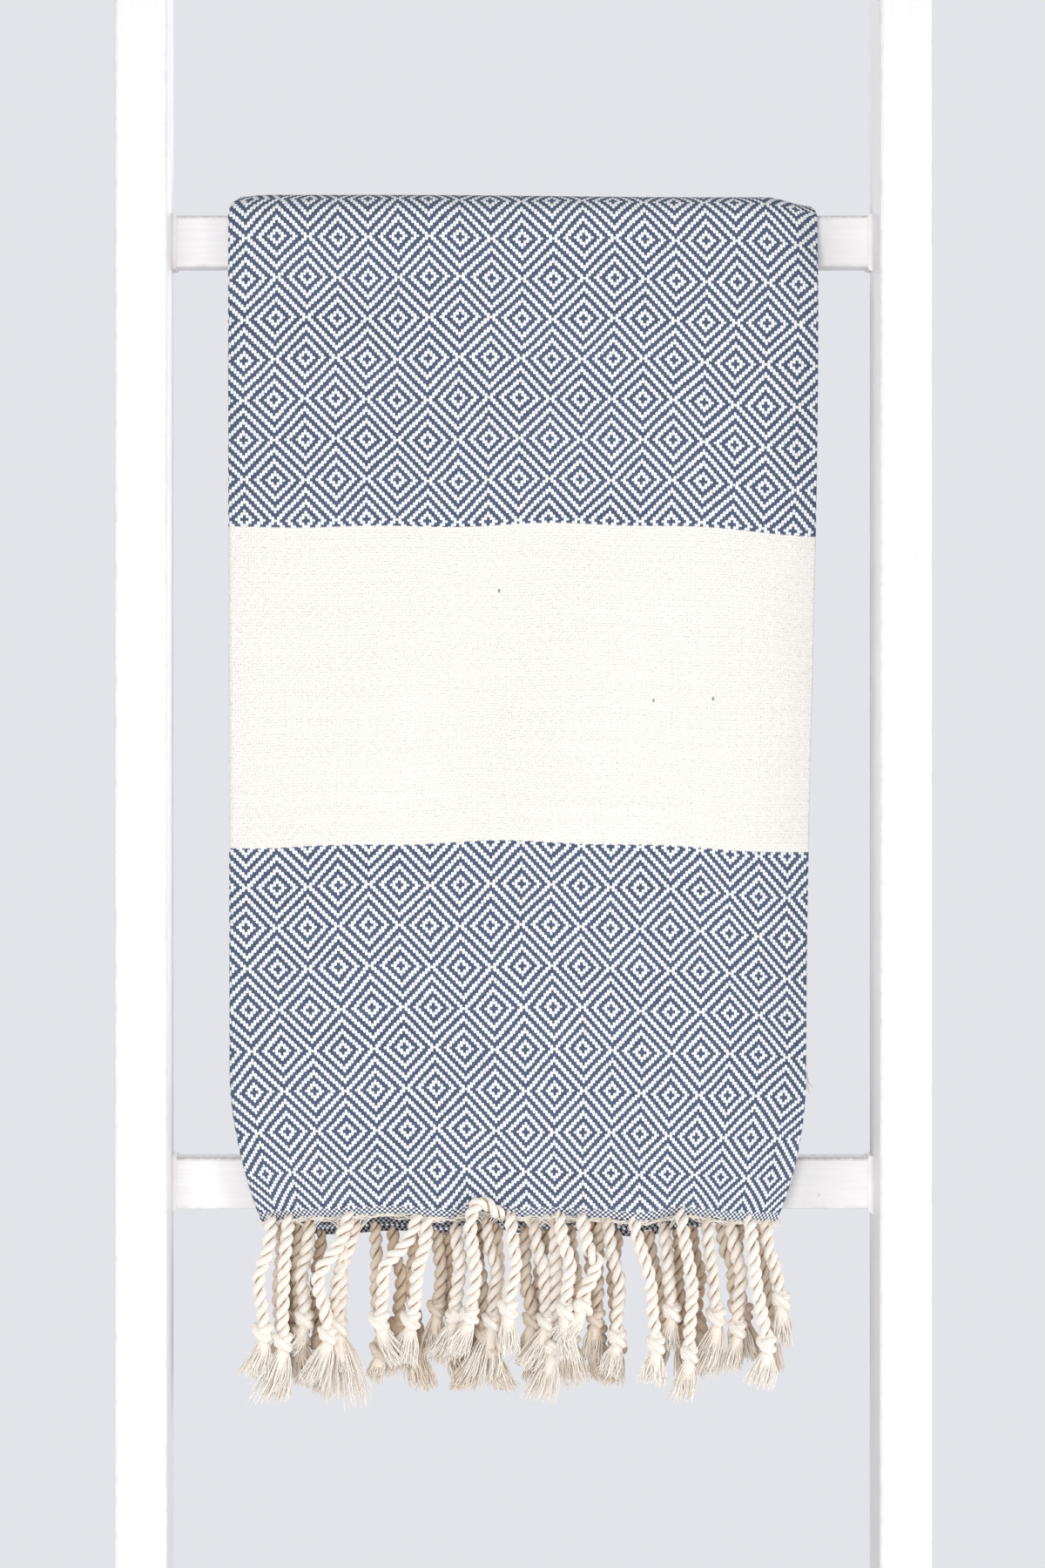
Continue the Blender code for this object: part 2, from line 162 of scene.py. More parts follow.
class Tree:
    """Short ways to add the nodes that every finish is made of."""

    def __init__(self, tree):
        self.tree = tree

    def feed(self, socket, value):
        if isinstance(value, bpy.types.NodeSocket):
            self.tree.links.new(value, socket)
        else:
            socket.default_value = value

    def math(self, operation, *values):
        node = self.tree.nodes.new("ShaderNodeMath")
        node.operation = operation
        for socket, value in zip(node.inputs, values):
            self.feed(socket, value)
        return node.outputs[0]

    def add(self, first, second):
        return self.math("ADD", first, second)

    def minus(self, first, second):
        return self.math("SUBTRACT", first, second)

    def times(self, first, second):
        return self.math("MULTIPLY", first, second)

    def over(self, first, second):
        return self.math("DIVIDE", first, second)

    def power(self, value, exponent):
        return self.math("POWER", value, exponent)

    def larger(self, first, second):
        return self.math("MAXIMUM", first, second)

    def absolute(self, value):
        return self.math("ABSOLUTE", value)

    def floor(self, value):
        return self.math("FLOOR", value)

    def fraction(self, value):
        return self.math("FRACT", value)

    def ping_pong(self, value, turn):
        return self.math("PINGPONG", value, turn)

    def ramp(self, value, low, high, start=0.0, end=1.0):
        """An eased change from start to end, as the value goes from low to high."""
        node = self.tree.nodes.new("ShaderNodeMapRange")
        node.interpolation_type = "SMOOTHSTEP"
        labels = ("Value", "From Min", "From Max", "To Min", "To Max")
        for label, given in zip(labels, (value, low, high, start, end)):
            self.feed(node.inputs[label], given)
        return node.outputs[0]

    def blend(self, amount, first, second):
        """From the first colour to the second; a colour may be a node's or three numbers."""
        node = self.tree.nodes.new("ShaderNodeMix")
        node.data_type = "RGBA"
        self.feed(node.inputs[0], amount)
        for socket, colour in ((node.inputs[6], first), (node.inputs[7], second)):
            self.feed(socket, (*colour, 1) if isinstance(colour, tuple) else colour)
        return node.outputs[2]

    def split(self, vector):
        node = self.tree.nodes.new("ShaderNodeSeparateXYZ")
        self.feed(node.inputs[0], vector)
        return node.outputs

    def join(self, *values):
        node = self.tree.nodes.new("ShaderNodeCombineXYZ")
        for socket, value in zip(node.inputs, values):
            self.feed(socket, value)
        return node.outputs[0]

    def stretch(self, vector, scale):
        node = self.tree.nodes.new("ShaderNodeMapping")
        self.feed(node.inputs["Vector"], vector)
        node.inputs["Scale"].default_value = scale
        return node.outputs[0]

    def noise(self, vector, scale, detail=2.0, roughness=0.5):
        node = self.tree.nodes.new("ShaderNodeTexNoise")
        self.feed(node.inputs["Vector"], vector)
        self.feed(node.inputs["Scale"], scale)
        node.inputs["Detail"].default_value = detail
        node.inputs["Roughness"].default_value = roughness
        return node.outputs["Fac"]

    def group(self, group, **values):
        node = self.tree.nodes.new("ShaderNodeGroup")
        node.node_tree = group
        for label, value in values.items():
            self.feed(node.inputs[label.replace("_", " ")], value)
        return node.outputs

    def bump(self, height, distance, strength=1.0):
        node = self.tree.nodes.new("ShaderNodeBump")
        self.feed(node.inputs["Height"], height)
        node.inputs["Distance"].default_value = distance
        node.inputs["Strength"].default_value = strength
        return node.outputs[0]

    def object_place(self):
        return self.tree.nodes.new("ShaderNodeTexCoord").outputs["Object"]

    def uv(self, name):
        node = self.tree.nodes.new("ShaderNodeUVMap")
        node.uv_map = name
        return node.outputs["UV"]

    def tone(self):
        """How light a strand is, painted shade included, from its own mesh."""
        node = self.tree.nodes.new("ShaderNodeAttribute")
        node.attribute_name = "tone"
        return node.outputs["Fac"]


def new_finish(name, roughness, specular=0.5, metallic=0.0, sheen=None):
    """A material with its tree's helper and its Principled shader. Sheen is its weight and roughness."""
    material = bpy.data.materials.new(name)
    material.use_nodes = True
    shader = material.node_tree.nodes["Principled BSDF"]
    shader.inputs["Roughness"].default_value = roughness
    shader.inputs["Metallic"].default_value = metallic
    shader.inputs["Specular IOR Level"].default_value = specular
    if sheen:
        shader.inputs["Sheen Weight"].default_value, shader.inputs["Sheen Roughness"].default_value = sheen
    return material, Tree(material.node_tree), shader


def surface(t, shader, colour, height=None, distance=0.0, strength=1.0):
    """Gives the shader its colour and, where there is a height, its bump."""
    t.feed(shader.inputs["Base Color"], colour)
    if height is not None:
        t.feed(shader.inputs["Normal"], t.bump(height, distance, strength))


# ---------------------------------------------------------------- shared effects


def paint_film():
    """Hand-brushed paint along a grain: fine strokes, cloudy tone and slight orange peel."""
    group, given, out = new_group(
        "Brushed paint film",
        [("Place", "Vector", (0, 0, 0)), ("Stroke", "Vector", (900, 900, 24))],
        [("Strokes", "Float"), ("Cloud", "Float"), ("Height", "Float")],
    )
    t = Tree(group)
    node = group.nodes.new("ShaderNodeVectorMath")
    node.operation = "MULTIPLY"
    t.feed(node.inputs[0], given["Place"])
    t.feed(node.inputs[1], given["Stroke"])
    strokes = t.noise(node.outputs[0], 1.0, 3.0, 0.62)
    cloud = t.noise(given["Place"], 34.0, 3.0, 0.55)
    peel = t.noise(given["Place"], 1500.0, 1.0)
    height = t.add(t.times(strokes, 0.75), t.times(peel, 0.25))
    t.feed(out["Strokes"], strokes)
    t.feed(out["Cloud"], cloud)
    t.feed(out["Height"], height)
    return group


def yarn_twist():
    """Fine yarns wound round one strand: lines that follow the strand's own round and length."""
    group, given, out = new_group(
        "Yarn twist",
        [("Round", "Float", 0.0), ("Length", "Float", 0.0), ("Yarns", "Float", 9.0), ("Pitch", "Float", 0.014)],
        [("Line", "Float"), ("Fuzz", "Float")],
    )
    t = Tree(group)
    turn = t.over(given["Length"], given["Pitch"])
    across = t.times(t.minus(given["Round"], turn), given["Yarns"])
    fuzz = t.noise(t.join(across, t.times(given["Length"], 260.0), 0.0), 2.4, 3.0, 0.6)
    wander = t.add(across, t.times(t.minus(fuzz, 0.5), 0.5))
    line = t.math("SINE", t.times(wander, 2 * math.pi))
    t.feed(out["Line"], t.math("MULTIPLY_ADD", line, 0.5, 0.5))
    t.feed(out["Fuzz"], fuzz)
    return group


def diamond_draft():
    """The threads of the cloth: where the white warp lies on top, how far up each thread stands, and the gaps."""
    group, given, out = new_group(
        "Diamond twill draft",
        [("Across", "Float", 0.0), ("Along", "Float", 0.0), ("Reverse", "Float", 0.0)],
        [("Warp", "Float"), ("Height", "Float"), ("Gap", "Float"), ("Bead shadow", "Float")],
    )
    t = Tree(group)
    ends = t.over(given["Across"], END)
    picks = t.over(given["Along"], PICK)
    end_number = t.floor(ends)
    pick_number = t.floor(picks)
    end_part = t.minus(t.fraction(ends), 0.5)
    pick_part = t.minus(t.fraction(picks), 0.5)
    step_across = t.ping_pong(end_number, DIAMOND_ENDS)
    step_along = t.ping_pong(pick_number, DIAMOND_PICKS)
    smooth_along = t.ping_pong(t.minus(picks, 0.5), DIAMOND_PICKS)
    smooth_across = t.ping_pong(t.minus(ends, 0.5), DIAMOND_ENDS)
    # A warp thread stays on top for two picks, then below for two. The reverse swaps them.
    turn = t.times(given["Reverse"], 2.0)
    warp_phase = t.add(t.add(step_across, smooth_along), turn)
    warp_float = t.minus(t.math("MODULO", t.add(warp_phase, 0.5), 4.0), 3.0)
    weft_phase = t.add(t.add(smooth_across, step_along), turn)
    weft_float = t.minus(t.math("MODULO", t.add(weft_phase, 0.5), 4.0), 1.0)
    fullness = t.noise(t.join(end_number, t.times(picks, 0.45), 0.0), 1.7, 1.0)
    wide = t.ramp(fullness, 0.3, 0.7, 2.02, 1.72)
    warp_side = t.power(t.absolute(t.times(end_part, wide)), 2.6)
    warp_tip = t.power(t.absolute(warp_float), 3.0)
    warp_out = t.add(warp_side, warp_tip)
    weft_side = t.power(t.absolute(t.times(pick_part, 2.0)), 2.6)
    weft_tip = t.power(t.absolute(weft_float), 3.2)
    weft_out = t.add(weft_side, weft_tip)
    warp = t.ramp(warp_out, 0.88, 1.30, 1.0, 0.0)
    weft = t.ramp(weft_out, 0.70, 1.20, 1.0, 0.0)
    warp_dome = t.math("SQRT", t.larger(t.minus(1.0, warp_out), 0.0))
    weft_dome = t.math("SQRT", t.larger(t.minus(1.0, weft_out), 0.0))
    height = t.larger(warp_dome, t.times(weft_dome, 0.8))
    t.feed(out["Warp"], warp)
    t.feed(out["Height"], height)
    t.feed(out["Gap"], t.minus(1.0, t.larger(warp, weft)))
    t.feed(out["Bead shadow"], t.ramp(warp_out, 2.9, 1.15))
    return group


def plain_draft():
    """One thread over, one under, as in the strip along each hem."""
    group, given, out = new_group(
        "Plain weave draft",
        [("Across", "Float", 0.0), ("Along", "Float", 0.0), ("Reverse", "Float", 0.0)],
        [("Warp", "Float"), ("Height", "Float")],
    )
    t = Tree(group)
    ends = t.over(given["Across"], END)
    picks = t.over(given["Along"], PICK * 0.74)
    total = t.add(t.floor(ends), t.floor(picks))
    over = t.math("MODULO", t.add(total, given["Reverse"]), 2.0)
    side = t.absolute(t.times(t.minus(t.fraction(ends), 0.5), 2.0))
    tip = t.absolute(t.times(t.minus(t.fraction(picks), 0.5), 2.0))
    off = t.add(t.power(side, 2.2), t.power(tip, 2.2))
    bead = t.ramp(off, 1.0, 1.6, 1.0, 0.0)
    t.feed(out["Warp"], t.times(bead, over))
    t.feed(out["Height"], bead)
    return group


FILM = paint_film()
TWIST = yarn_twist()
DIAMOND = diamond_draft()
PLAIN = plain_draft()


# ---------------------------------------------------------------- finishes


def edge_mask(t, first, second, first_half, second_half, width):
    """1 along the edge where two faces of a box meet, from the distances to its middle."""
    near_first = t.ramp(t.absolute(first), first_half - width, first_half - width * 0.3)
    near_second = t.ramp(t.absolute(second), second_half - width, second_half - width * 0.3)
    return t.times(near_first, near_second)


def painted_wood(name, tone, roughness, stroke, edges, painted_contact_shade):
    """Satin white paint, brushed along the grain, thin along the arrises, with painted contact shade, grey, where
    pieces meet.
    """
    material, t, shader = new_finish(name, roughness, specular=0.42)
    place = t.object_place()
    film = t.group(FILM, Place=place, Stroke=stroke)
    x, y, z = t.split(place)
    rub = t.noise(place, 140.0, 3.0, 0.6)
    worn = t.times(edges(t, x, y, z), t.ramp(rub, 0.46, 0.66))
    streak = t.ramp(film["Strokes"], 0.30, 0.72)
    shade = tuple(value * 0.955 for value in tone)
    warm = (tone[0] * 0.975, tone[1] * 0.955, tone[2] * 0.95)
    colour = t.blend(streak, shade, tone)
    colour = t.blend(t.ramp(film["Cloud"], 0.42, 0.75, 0.0, 0.65), colour, warm)
    colour = t.blend(t.times(worn, 0.26), colour, (0.60, 0.585, 0.58))
    chip = t.ramp(t.noise(place, 260.0, 1.0), 0.775, 0.80)
    colour = t.blend(t.times(chip, 0.35), colour, (0.50, 0.42, 0.38))
    # Painted contact shade: grey where pieces meet.
    colour = t.blend(painted_contact_shade(t, x, y, z), colour, (0.42, 0.37, 0.34))
    surface(t, shader, colour, film["Height"], 0.00022, 0.55)
    t.feed(shader.inputs["Roughness"], t.ramp(film["Strokes"], 0.25, 0.8, roughness + 0.10, roughness - 0.06))
    return material


def rail_paint():
    middle_x = (RAIL_LOW.x + RAIL_HIGH.x) / 2
    middle_y = (RAIL_LOW.y + RAIL_HIGH.y) / 2
    half_x, half_y = RAIL_HIGH.x - middle_x, RAIL_HIGH.y - middle_y

    def edges(t, x, y, z):
        across = t.minus(t.absolute(x), middle_x)
        deep = t.minus(y, middle_y)
        along = edge_mask(t, across, deep, half_x, half_y, 0.0022)
        end = t.ramp(z, RAIL_HIGH.z - 0.0022, RAIL_HIGH.z - 0.0006)
        rim = t.math(
            "MAXIMUM",
            t.ramp(t.absolute(across), half_x - 0.0022, half_x - 0.0006),
            t.ramp(t.absolute(deep), half_y - 0.0022, half_y - 0.0006),
        )
        return t.larger(along, t.times(end, rim))

    def painted_contact_shade(t, x, y, z):
        # Painted shade, darker towards the foot of the rail.
        low = t.ramp(z, RAIL_LOW.z + 0.012, RAIL_LOW.z + 0.002)
        return t.times(low, 0.35)

    return painted_wood("White rail paint", (0.885, 0.88, 0.882), 0.42, (900, 900, 40), edges, painted_contact_shade)


def rung_paint():
    middle_y = (RUNG_LOW.y + RUNG_HIGH.y) / 2
    half_y = RUNG_HIGH.y - middle_y
    half_z = (RUNG_HIGH.z - RUNG_LOW.z) / 2
    pitch = RUNG_LOW.z - RUNG_3_LOW.z
    first = (RUNG_1_LOW.z + RUNG_1_HIGH.z) / 2

    def height(t, z):
        node = t.tree.nodes.new("ShaderNodeMath")
        node.operation = "WRAP"
        t.feed(node.inputs[0], t.minus(z, first))
        node.inputs[1].default_value = pitch / 2
        node.inputs[2].default_value = -pitch / 2
        return node.outputs[0]

    def edges(t, x, y, z):
        return edge_mask(t, t.minus(y, middle_y), height(t, z), half_y, half_z, 0.0022)

    def painted_contact_shade(t, x, y, z):
        # Painted shade where the rung meets the rails and along its top edge.
        near = t.ramp(t.absolute(x), RAIL_LOW.x - 0.0030, RAIL_LOW.x - 0.0014)
        blur = t.noise(t.join(x, y, z), 420.0, 2.0)
        joint_shade = t.times(near, t.ramp(blur, 0.25, 0.75, 0.18, 0.50))
        top_edge_shade = t.ramp(height(t, z), half_z - 0.0016, half_z - 0.0007)
        return t.larger(joint_shade, t.times(top_edge_shade, t.ramp(blur, 0.35, 0.65, 0.10, 0.42)))

    return painted_wood("White rung paint", (0.945, 0.932, 0.93), 0.44, (40, 900, 900), edges, painted_contact_shade)


def filler_finish():
    """The bead of filler, painted over with the ladder."""
    material, t, shader = new_finish("Painted filler bead", 0.45, specular=0.42)
    place = t.object_place()
    film = t.group(FILM, Place=place, Stroke=(420, 420, 420))
    crack = t.ramp(t.absolute(t.split(place)[0]), RAIL_LOW.x - 0.0013, RAIL_LOW.x - 0.0004)
    colour = t.blend(t.ramp(film["Cloud"], 0.35, 0.7), (0.90, 0.89, 0.88), (0.80, 0.77, 0.75))
    colour = t.blend(t.times(crack, 0.22), colour, (0.45, 0.38, 0.36))
    surface(t, shader, colour, film["Height"], 0.0004, 0.6)
    return material


def plug_finish():
    material, t, shader = new_finish("Painted plug", 0.5, specular=0.4)
    film = t.group(FILM, Place=t.object_place(), Stroke=(300, 700, 90))
    colour = t.blend(t.ramp(film["Strokes"], 0.3, 0.7), (0.80, 0.79, 0.775), (0.89, 0.88, 0.865))
    surface(t, shader, colour, film["Height"], 0.0003, 0.6)
    return material


def screw_finish():
    material, t, shader = new_finish("Zinc-plated steel", 0.34, metallic=1.0)
    place = t.object_place()
    cloud = t.noise(place, 600.0, 3.0)
    colour = t.blend(t.ramp(cloud, 0.35, 0.7), (0.50, 0.50, 0.52), (0.68, 0.68, 0.70))
    t.feed(shader.inputs["Base Color"], colour)
    t.feed(shader.inputs["Roughness"], t.ramp(cloud, 0.3, 0.7, 0.28, 0.46))
    return material


def dowel_finish():
    material, t, shader = new_finish("Bare beech", 0.7, specular=0.3)
    grain = t.noise(t.stretch(t.object_place(), (60, 2600, 2600)), 1.0, 4.0, 0.6)
    fleck = t.noise(t.stretch(t.object_place(), (400, 1800, 1800)), 1.0, 1.0)
    colour = t.blend(t.ramp(grain, 0.3, 0.7), (0.55, 0.38, 0.22), (0.70, 0.53, 0.35))
    colour = t.blend(t.ramp(fleck, 0.62, 0.72, 0.0, 0.5), colour, (0.36, 0.22, 0.12))
    surface(t, shader, colour, grain, 0.0002, 0.5)
    return material


def pad_finish():
    material, t, shader = new_finish("Rubber pad", 0.82, specular=0.3)
    speck = t.noise(t.object_place(), 1800.0, 2.0)
    colour = t.blend(t.ramp(speck, 0.4, 0.75), (0.055, 0.055, 0.056), (0.13, 0.13, 0.128))
    surface(t, shader, colour, speck, 0.0002, 0.6)
    return material


def thread_finish():
    """The loose cotton threads of the tufts and along the hem."""
    material, t, shader = new_finish("Loose cotton threads", 0.9, 0.15, sheen=(0.25, 0.5))
    around, along, _ = t.split(t.uv("Strand"))
    tone = t.tone()
    fibre = t.noise(t.join(t.times(along, 900.0), t.times(around, 3.0), 0.0), 1.0, 2.0)
    mote = t.noise(t.object_place(), 1300.0, 2.0)
    # The tone carries painted shade: the roots and cores of the tufts and the rows behind go tan.
    colour = t.blend(tone, (0.72, 0.575, 0.435), (0.995, 0.965, 0.908))
    colour = t.blend(t.ramp(fibre, 0.35, 0.7, 0.14, 0.0), colour, (0.78, 0.62, 0.46))
    colour = t.blend(t.ramp(mote, 0.60, 0.8, 0.0, 0.18), colour, (0.66, 0.52, 0.38))
    surface(t, shader, colour, fibre, 0.00006, 0.5)
    return material


def cotton_finish():
    """Undyed cotton rope: cream on the outside; the tan in the grooves and in the ropes that hang behind is painted
    shade.
    """
    material, t, shader = new_finish("Undyed cotton rope", 0.93, 0.12, sheen=(0.25, 0.6))
    around, along, _ = t.split(t.uv("Strand"))
    twist = t.group(TWIST, Round=around, Length=along)
    tone = t.tone()
    mote = t.noise(t.object_place(), 900.0, 3.0, 0.65)
    # The tone carries painted shade: inward sides and rows behind go tan, the darkest towards brown.
    colour = t.blend(t.ramp(tone, 0.35, 1.0), (0.575, 0.440, 0.325), (0.995, 0.950, 0.880))
    colour = t.blend(t.ramp(tone, 0.36, 0.05), colour, (0.205, 0.115, 0.065))
    # Painted shade in the grooves between the yarns.
    groove_shade = t.ramp(twist["Line"], 0.0, 0.5, 0.36, 0.0)
    colour = t.blend(groove_shade, colour, (0.62, 0.47, 0.34))
    colour = t.blend(t.ramp(mote, 0.60, 0.78, 0.0, 0.20), colour, (0.62, 0.48, 0.35))
    t.feed(shader.inputs["Base Color"], colour)
    height = t.add(t.times(twist["Line"], 0.5), t.times(twist["Fuzz"], 0.5))
    t.feed(shader.inputs["Normal"], t.bump(height, 0.00030, 0.8))
    return material


def woven_finish(name, reverse):
    """The throw's cloth: white warp over blue weft in diamonds, with a cream band and a plain hem strip."""
    material, t, shader = new_finish(name, 0.93, 0.14, sheen=(0.12, 0.6))
    uv = t.uv("Cloth")
    across, along, _ = t.split(uv)
    laid_across, laid_along, _ = t.split(t.uv("Draft"))

    def grain(across_scale, along_scale, detail=2.0, roughness=0.6):
        return t.noise(t.stretch(uv, (across_scale, along_scale, 1)), 1.0, detail, roughness)

    wander = grain(60, 60, 1.0, 0.5)
    jitter = grain(430, 430, 1.0, 0.5)
    bend = t.times(t.minus(wander, 0.5), END * 0.7)
    bend = t.math("MULTIPLY_ADD", t.minus(jitter, 0.5), END * 0.55, bend)
    draft = t.group(
        DIAMOND,
        Across=t.add(laid_across, t.add(bend, DRAFT_ACROSS)),
        Along=t.add(laid_along, t.math("MULTIPLY_ADD", bend, -0.8, DRAFT_ALONG)),
        Reverse=float(reverse),
    )
    plain = t.group(PLAIN, Across=across, Along=along, Reverse=float(reverse))
    # Distance to the nearer hem. The two halves of the cloth mirror each other.
    from_hem = t.ping_pong(along, CLOTH_LENGTH / 2)
    band = t.math(
        "MULTIPLY",
        t.ramp(from_hem, BAND_START - 0.0003, BAND_START + 0.0003),
        t.ramp(from_hem, BAND_END + 0.0003, BAND_END - 0.0003),
    )
    strip = REVERSE_STRIP if reverse else HEM_STRIP
    hem = t.ramp(from_hem, strip + 0.0002, strip - 0.0002)
    flip = t.minus(1.0, hem)
    # On the reverse, less of the hem strip's white warp shows: partly painted shade.
    shown = t.times(plain["Warp"], 0.34 if reverse else 1.0)
    warp = t.add(t.times(draft["Warp"], flip), t.times(shown, hem))
    height = t.add(t.times(draft["Height"], flip), t.times(plain["Height"], hem))
    # Streaks of lighter and darker weft, laid in pick by pick, and slubs along the warp.
    streak = grain(9, 820)
    slub = grain(840, 22)
    fibre = grain(5200, 2600, 1.0, 0.5)
    blue = t.blend(t.ramp(streak, 0.3, 0.7), (0.053, 0.077, 0.142), (0.092, 0.127, 0.214))
    blue = t.blend(t.ramp(fibre, 0.45, 0.8, 0.0, 0.45), blue, (0.21, 0.24, 0.31))
    # The hem strip's weft: deeper blue on the face, and near black on the reverse, which is partly painted shade.
    deep = (0.010, 0.012, 0.026) if reverse else (0.058, 0.078, 0.145)
    blue = t.blend(hem, blue, deep)
    cream_weft = t.blend(t.ramp(streak, 0.3, 0.7), (0.84, 0.823, 0.78), (0.900, 0.888, 0.850))
    weft = t.blend(band, blue, cream_weft)
    white = t.blend(t.ramp(slub, 0.3, 0.72), (0.82, 0.83, 0.84), (0.905, 0.912, 0.918))
    ecru = t.blend(t.ramp(slub, 0.3, 0.72), (0.865, 0.845, 0.795), (0.910, 0.897, 0.855))
    tint = grain(310, 420)
    ecru = t.blend(t.ramp(tint, 0.52, 0.72, 0.0, 0.40), ecru, (0.86, 0.78, 0.66))
    white = t.blend(band, white, ecru)
    # Painted shadow: the weft is darker where it dips beside a raised warp thread.
    rim = t.times(t.times(draft["Bead shadow"], flip), t.blend(band, (0.62, 0.62, 0.62), (0.10, 0.10, 0.10)))
    weft = t.blend(rim, weft, t.blend(band, (0.026, 0.036, 0.072), (0.66, 0.58, 0.48)))
    colour = t.blend(warp, weft, white)
    gap_shade = t.blend(band, (0.020, 0.027, 0.058), (0.50, 0.43, 0.35))
    gap = t.times(t.times(draft["Gap"], flip), t.ramp(fibre, 0.25, 0.6, 0.55, 0.95))
    # In the undyed band the gaps show only here and there.
    patch = grain(640, 760)
    shown_gap = t.larger(t.ramp(patch, 0.50, 0.66, 0.03, 1.0), t.minus(1.0, band))
    gap = t.times(gap, shown_gap)
    colour = t.blend(gap, colour, gap_shade)
    # Bits of seed husk caught in the undyed band.
    husk = t.tree.nodes.new("ShaderNodeTexVoronoi")
    t.feed(husk.inputs["Vector"], t.stretch(uv, (78, 52, 1)))
    husk.inputs["Scale"].default_value = 1.0
    chosen = t.math("GREATER_THAN", t.split(husk.outputs["Color"])[0], 0.80)
    fleck = t.times(t.ramp(husk.outputs["Distance"], 0.062, 0.030), chosen)
    colour = t.blend(t.times(t.times(fleck, band), 0.75), colour, (0.20, 0.13, 0.08))
    surface(t, shader, colour, height, 0.00028, 0.75)
    return material


# ---------------------------------------------------------------- mesh helpers


def deselect_all():
    for obj in list(bpy.context.selected_objects):
        obj.select_set(False)
    bpy.context.view_layer.objects.active = None


def make_active(obj):
    deselect_all()
    obj.select_set(True)
    bpy.context.view_layer.objects.active = obj


class SoftMesh:
    """Gathers tubes and threads into one mesh, with a strand map and a tone for each point that carries painted
    shade.
    """

    def __init__(self):
        self.points, self.faces, self.maps, self.tones, self.kinds = [], [], [], [], []
        self.count = 0

    def tube(self, path, radius, sides, tone, length_from=0.0, flat=1.0, kind=0, inward=None):
        """A closed tube round a path, its ends drawn to a point. The side that faces inward is darker with painted
        shade.
        """
        path = np.asarray(path, float)
        count = len(path)
        radius = np.broadcast_to(np.asarray(radius, float), (count,))
        tone = np.broadcast_to(np.asarray(tone, float), (count,))
        along = directions(path)
        aside = np.empty_like(path)
        start = np.array([0.0, 1.0, 0.0]) if abs(along[0, 1]) < 0.9 else np.array([1.0, 0.0, 0.0])
        for i in range(count):
            start = start - along[i] * (start @ along[i])
            start = start / np.linalg.norm(start)
            aside[i] = start
        third = np.cross(along, aside)
        angle = 2 * math.pi * np.arange(sides) / sides
        round_it = np.cos(angle)[None, :, None] * aside[:, None, :]
        round_it = round_it + flat * np.sin(angle)[None, :, None] * third[:, None, :]
        ring = path[:, None, :] + radius[:, None, None] * round_it
        self.points.append(ring.reshape(-1, 3))
        self.points.append(path[[0, -1]] + np.array([-along[0], along[-1]]) * radius[[0, -1]][:, None] * 0.5)
        shade = np.repeat(tone, sides)
        # Painted shade on the side of each strand that faces inward.
        if inward is not None:
            away = (ring - path[:, None, :]) / radius[:, None, None]
            facing = (away * inward[:, None, :]).sum(axis=2)
            shade = shade * (1 - 0.95 * smooth(0.10, 0.62, facing).ravel())
        self.tones.append(shade)
        self.tones.append(tone[[0, -1]])
        step = lengths_along(path) + length_from
        first = self.count
        i, j = np.meshgrid(np.arange(count - 1), np.arange(sides), indexing="ij")
        i, j = i.ravel(), j.ravel()
        k = (j + 1) % sides
        quads = np.stack(
            [first + i * sides + j, first + i * sides + k, first + (i + 1) * sides + k, first + (i + 1) * sides + j],
            axis=1,
        )
        around = np.stack([j / sides, (j + 1) / sides, (j + 1) / sides, j / sides], axis=1)
        lengths = np.stack([step[i], step[i], step[i + 1], step[i + 1]], axis=1)
        self.faces.extend(quads.tolist())
        self.maps.append(np.stack([around, lengths], axis=2).reshape(-1, 2))
        pole_low, pole_high = first + count * sides, first + count * sides + 1
        last = first + (count - 1) * sides
        j = np.arange(sides)
        k = (j + 1) % sides
        self.faces.extend(np.stack([np.full(sides, pole_low), first + k, first + j], axis=1).tolist())
        self.faces.extend(np.stack([np.full(sides, pole_high), last + j, last + k], axis=1).tolist())
        self.kinds.append(np.full(len(quads) + 2 * sides, kind))
        for value in (step[0], step[-1]):
            corner = np.stack([(j + 0.5) / sides, (j + 1) / sides, j / sides], axis=1)
            self.maps.append(np.stack([corner, np.full_like(corner, value)], axis=2).reshape(-1, 2))
        self.count += count * sides + 2

    def finish(self, name, materials):
        mesh = bpy.data.meshes.new(name)
        mesh.from_pydata(np.concatenate(self.points), [], self.faces)
        strand = mesh.uv_layers.new(name="Strand")
        strand.data.foreach_set("uv", np.concatenate(self.maps).astype(np.float32).ravel())
        tone = mesh.attributes.new("tone", "FLOAT", "POINT")
        tone.data.foreach_set("value", np.concatenate(self.tones).astype(np.float32))
        for material in materials:
            mesh.materials.append(material)
        mesh.polygons.foreach_set("material_index", np.concatenate(self.kinds).astype(np.int32))
        mesh.polygons.foreach_set("use_smooth", [True] * len(mesh.polygons))
        mesh.update()
        obj = bpy.data.objects.new(name, mesh)
        bpy.context.scene.collection.objects.link(obj)
        return obj


def through(points, spacing):
    """An even run of points on a smooth curve through the given ones."""
    points = np.asarray(points, float)
    ends = np.vstack([2 * points[0] - points[1], points, 2 * points[-1] - points[-2]])
    fine = []
    for a, b, c, d in zip(ends, ends[1:], ends[2:], ends[3:]):
        for s in np.linspace(0, 1, 16, endpoint=False):
            fine.append(
                0.5 * (2 * b + (c - a) * s + (2 * a - 5 * b + 4 * c - d) * s * s + (3 * b - a - 3 * c + d) * s**3)
            )
    fine.append(points[-1])
    fine = np.array(fine)
    step = lengths_along(fine)
    count = max(4, int(round(step[-1] / spacing)))
    at = np.linspace(0, step[-1], count + 1)
    return np.stack([np.interp(at, step, fine[:, c]) for c in range(3)], axis=1)


# ---------------------------------------------------------------- the throw


